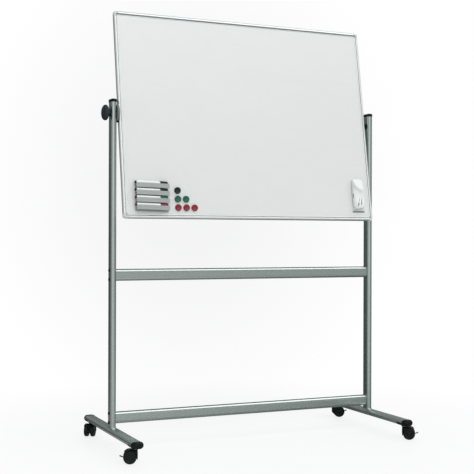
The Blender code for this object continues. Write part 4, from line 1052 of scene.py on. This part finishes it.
# ---------------------------------------------------------------- blank strip at the lower right
strip = fillet([(-31 * MM, -4 * MM), (31 * MM, -4 * MM), (31 * MM, 4 * MM), (-31 * MM, 4 * MM)], 1.8 * MM, 5)
bm = lofted([[(0.528 + p * f, -y, -0.4095 + q * f) for p, q in strip] for y, f in ((SHEET_OUT + 0.02 * MM, 1.0), (SHEET_OUT + 0.5 * MM, 1.0), (SHEET_OUT + 0.7 * MM, 0.985))])
piece("blank_name_strip", bm, STRIP, "board", (), BOARD_M, angle=40)

# ================================================================ stage
WHITE_BG = (1.0, 1.0, 1.0)


def backdrop_with_painted_shade(g, tree):
    """Near white, with a painted grey shade round the middle of the picture, about the board."""
    tc = tree.nodes.new("ShaderNodeTexCoord")
    v = g.vmath("SUBTRACT", tc.outputs["Window"], (0.40, 0.62, 0.0))
    v = g.vmath("MULTIPLY", v, (1.0, 0.85, 0.0))
    d = g.vmath("LENGTH", v)
    return g.mix(g.range(d, 0.12, 0.46, 0.0, 1.0), (0.905, 0.905, 0.91), WHITE_BG)


m = bpy.data.materials.new("pale_floor")
m.use_nodes = True
g = Graph(m.node_tree)
s = m.node_tree.nodes["Principled BSDF"]
speck = g.noise(60, 4, 0.6)
s.inputs["Base Color"].default_value = (0.86, 0.865, 0.865, 1)
g.put(s.inputs["Roughness"], g.range(speck, 0.3, 0.7, 0.16, 0.22))
s.inputs["Specular IOR Level"].default_value = 0.12
out = m.node_tree.nodes["Material Output"]
em = m.node_tree.nodes.new("ShaderNodeEmission")
g.put(em.inputs["Color"], backdrop_with_painted_shade(g, m.node_tree))
geo = m.node_tree.nodes.new("ShaderNodeNewGeometry")
r = g.vmath("LENGTH", geo.outputs["Position"])
near = m.node_tree.nodes.new("ShaderNodeMixShader")
g.put(near.inputs[0], g.range(r, 0.7, 1.9, 0.82, 1.0))
m.node_tree.links.new(s.outputs[0], near.inputs[1])
m.node_tree.links.new(em.outputs[0], near.inputs[2])
# the parts see a darker floor than the camera does
dim = m.node_tree.nodes.new("ShaderNodeEmission")
ahead = g.vmath("DOT_PRODUCT", geo.outputs["Position"], tuple(Vector((-0.407, -0.913, 0.0)).normalized()))
bearing = g.math("DIVIDE", ahead, g.math("MAXIMUM", r, 1.0))
g.put(dim.inputs["Color"], g.mix(g.math("POWER", g.range(bearing, -0.8, 1.0, 0.0, 1.0), 1.4), (0.048, 0.07, 0.062), (0.65, 0.68, 0.67)))
lpf = m.node_tree.nodes.new("ShaderNodeLightPath")
bounce = m.node_tree.nodes.new("ShaderNodeBsdfDiffuse")
bounce.inputs["Color"].default_value = (0.66, 0.655, 0.655, 1)
mb = m.node_tree.nodes.new("ShaderNodeMixShader")
m.node_tree.links.new(lpf.outputs["Is Diffuse Ray"], mb.inputs[0])
m.node_tree.links.new(dim.outputs[0], mb.inputs[1])
m.node_tree.links.new(bounce.outputs[0], mb.inputs[2])
mx = m.node_tree.nodes.new("ShaderNodeMixShader")
m.node_tree.links.new(lpf.outputs["Is Camera Ray"], mx.inputs[0])
m.node_tree.links.new(mb.outputs[0], mx.inputs[1])
m.node_tree.links.new(near.outputs[0], mx.inputs[2])
m.node_tree.links.new(mx.outputs[0], out.inputs["Surface"])
bm = bmesh.new()
rings = [[(r * cos(2 * pi * k / 96), r * sin(2 * pi * k / 96), -0.0002) for k in range(96)] for r in (2.2, 6.0, 14.0, 40.0)]
made = [ring(bm, x) for x in rings]
bm.faces.new(made[0])
for a, b in zip(made, made[1:]):
    skin(bm, a, b)
bmesh.ops.recalc_face_normals(bm, faces=bm.faces)
mesh = bpy.data.meshes.new("floor")
bm.to_mesh(mesh)
bm.free()
floor = bpy.data.objects.new("floor", mesh)
mesh.materials.append(m)
SCENE.collection.objects.link(floor)
floor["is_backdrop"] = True

# world: pale to the camera, a soft studio with darker flanks to reflections
w = bpy.data.worlds.new("studio")
SCENE.world = w
w.use_nodes = True
t = w.node_tree
g = Graph(t)
bg = t.nodes["Background"]
lp = t.nodes.new("ShaderNodeLightPath")
tc = t.nodes.new("ShaderNodeTexCoord")
sep = t.nodes.new("ShaderNodeSeparateXYZ")
g.put(sep.inputs[0], tc.outputs["Generated"])
X, Y, Z = sep.outputs
# round the horizon: dark behind, grey beside, a tall narrow light near the camera
front_v = g.vmath("DOT_PRODUCT", tc.outputs["Generated"], tuple(Vector((-0.407, -0.913, 0.0)).normalized()))
refl = g.mix(g.math("POWER", g.range(front_v, -0.8, 1.0, 0.0, 1.0), 1.4), (0.048, 0.07, 0.062), (0.56, 0.585, 0.577))
refl = g.mix(g.range(front_v, 0.88, 0.98, 0.0, 1.0), refl, (1.08, 1.12, 1.11))
# a little above the horizon the far side is lighter
low_sky = g.math("MULTIPLY", g.range(Z, 0.06, 0.30, 0.0, 1.0), g.range(front_v, 0.2, -0.4, 0.0, 1.0))
refl = g.mix(low_sky, refl, (0.30, 0.32, 0.315))
# a pale wall at the back right, seen along the right edges
wall = g.math("MULTIPLY", g.range(X, 0.45, 0.72, 0.0, 1.0), g.range(Y, -0.25, 0.25, 0.0, 1.0))
refl = g.mix(wall, refl, (0.50, 0.52, 0.515))
# overhead: a grey ceiling, and a large softbox high in front
ceiling = g.mix(g.range(Y, 0.15, -0.25, 0.0, 1.0), (0.13, 0.143, 0.139), (0.60, 0.62, 0.62))
refl = g.mix(g.range(Z, 0.46, 0.72, 0.0, 1.0), refl, ceiling)
box_front = g.range(Y, 0.12, -0.22, 0.0, 1.0)
box_high = g.math("MULTIPLY", g.range(Z, 0.38, 0.54, 0.0, 1.0), g.range(Z, 0.95, 0.88, 0.0, 1.0))
box_side = g.range(X, -0.35, -0.05, 0.0, 1.0)
refl = g.mix(g.math("MULTIPLY", g.math("MULTIPLY", box_front, box_high), box_side), refl, (2.15, 2.21, 2.2))
col = g.mix(lp.outputs["Is Camera Ray"], refl, backdrop_with_painted_shade(g, t))
g.put(bg.inputs["Color"], col)
bg.inputs["Strength"].default_value = 1.0


def sun(name, towards, strength, angle, colour=(1, 1, 1)):
    """Broad soft light with no falloff; it lights matt surfaces and stays out of reflections."""
    d = bpy.data.lights.new(name, "SUN")
    d.energy, d.angle, d.color = strength, radians(angle), colour
    o = bpy.data.objects.new(name, d)
    SCENE.collection.objects.link(o)
    o.rotation_euler = Vector(towards).to_track_quat("Z", "Y").to_euler()
    o.visible_glossy = False
    return o


sun("key", (-0.22, -0.42, 0.88), 0.40, 24, (1.0, 0.99, 0.988))
sun("fill", (0.1, -0.9, 0.3), 0.02, 80, (1.0, 0.995, 0.99))
sun("rear", (0.3, 0.8, 0.5), 1.7, 70)

# camera
cd = bpy.data.cameras.new("camera")
cam = bpy.data.objects.new("camera", cd)
SCENE.collection.objects.link(cam)
yaw, pitch, roll, focal = radians(24.0503), radians(0.0207), radians(0.1587), 1032.2442
fwd = Vector((sin(yaw) * cos(pitch), cos(yaw) * cos(pitch), sin(pitch)))
right = Vector((cos(yaw), -sin(yaw), 0))
upv = right.cross(fwd)
R1 = right * cos(roll) + upv * sin(roll)
U1v = -right * sin(roll) + upv * cos(roll)
cam.matrix_world = Matrix(((R1.x, U1v.x, -fwd.x, -1.9105), (R1.y, U1v.y, -fwd.y, -4.1713), (R1.z, U1v.z, -fwd.z, 0.8877), (0, 0, 0, 1)))
cd.sensor_width, cd.sensor_fit = 36, "HORIZONTAL"
cd.lens = focal * 36 / 474
cd.clip_start, cd.clip_end = 0.05, 100
SCENE.camera = cam
SCENE.view_settings.view_transform = "Standard"
SCENE.view_settings.look = "None"

bpy.context.view_layer.update()
lo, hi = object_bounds()
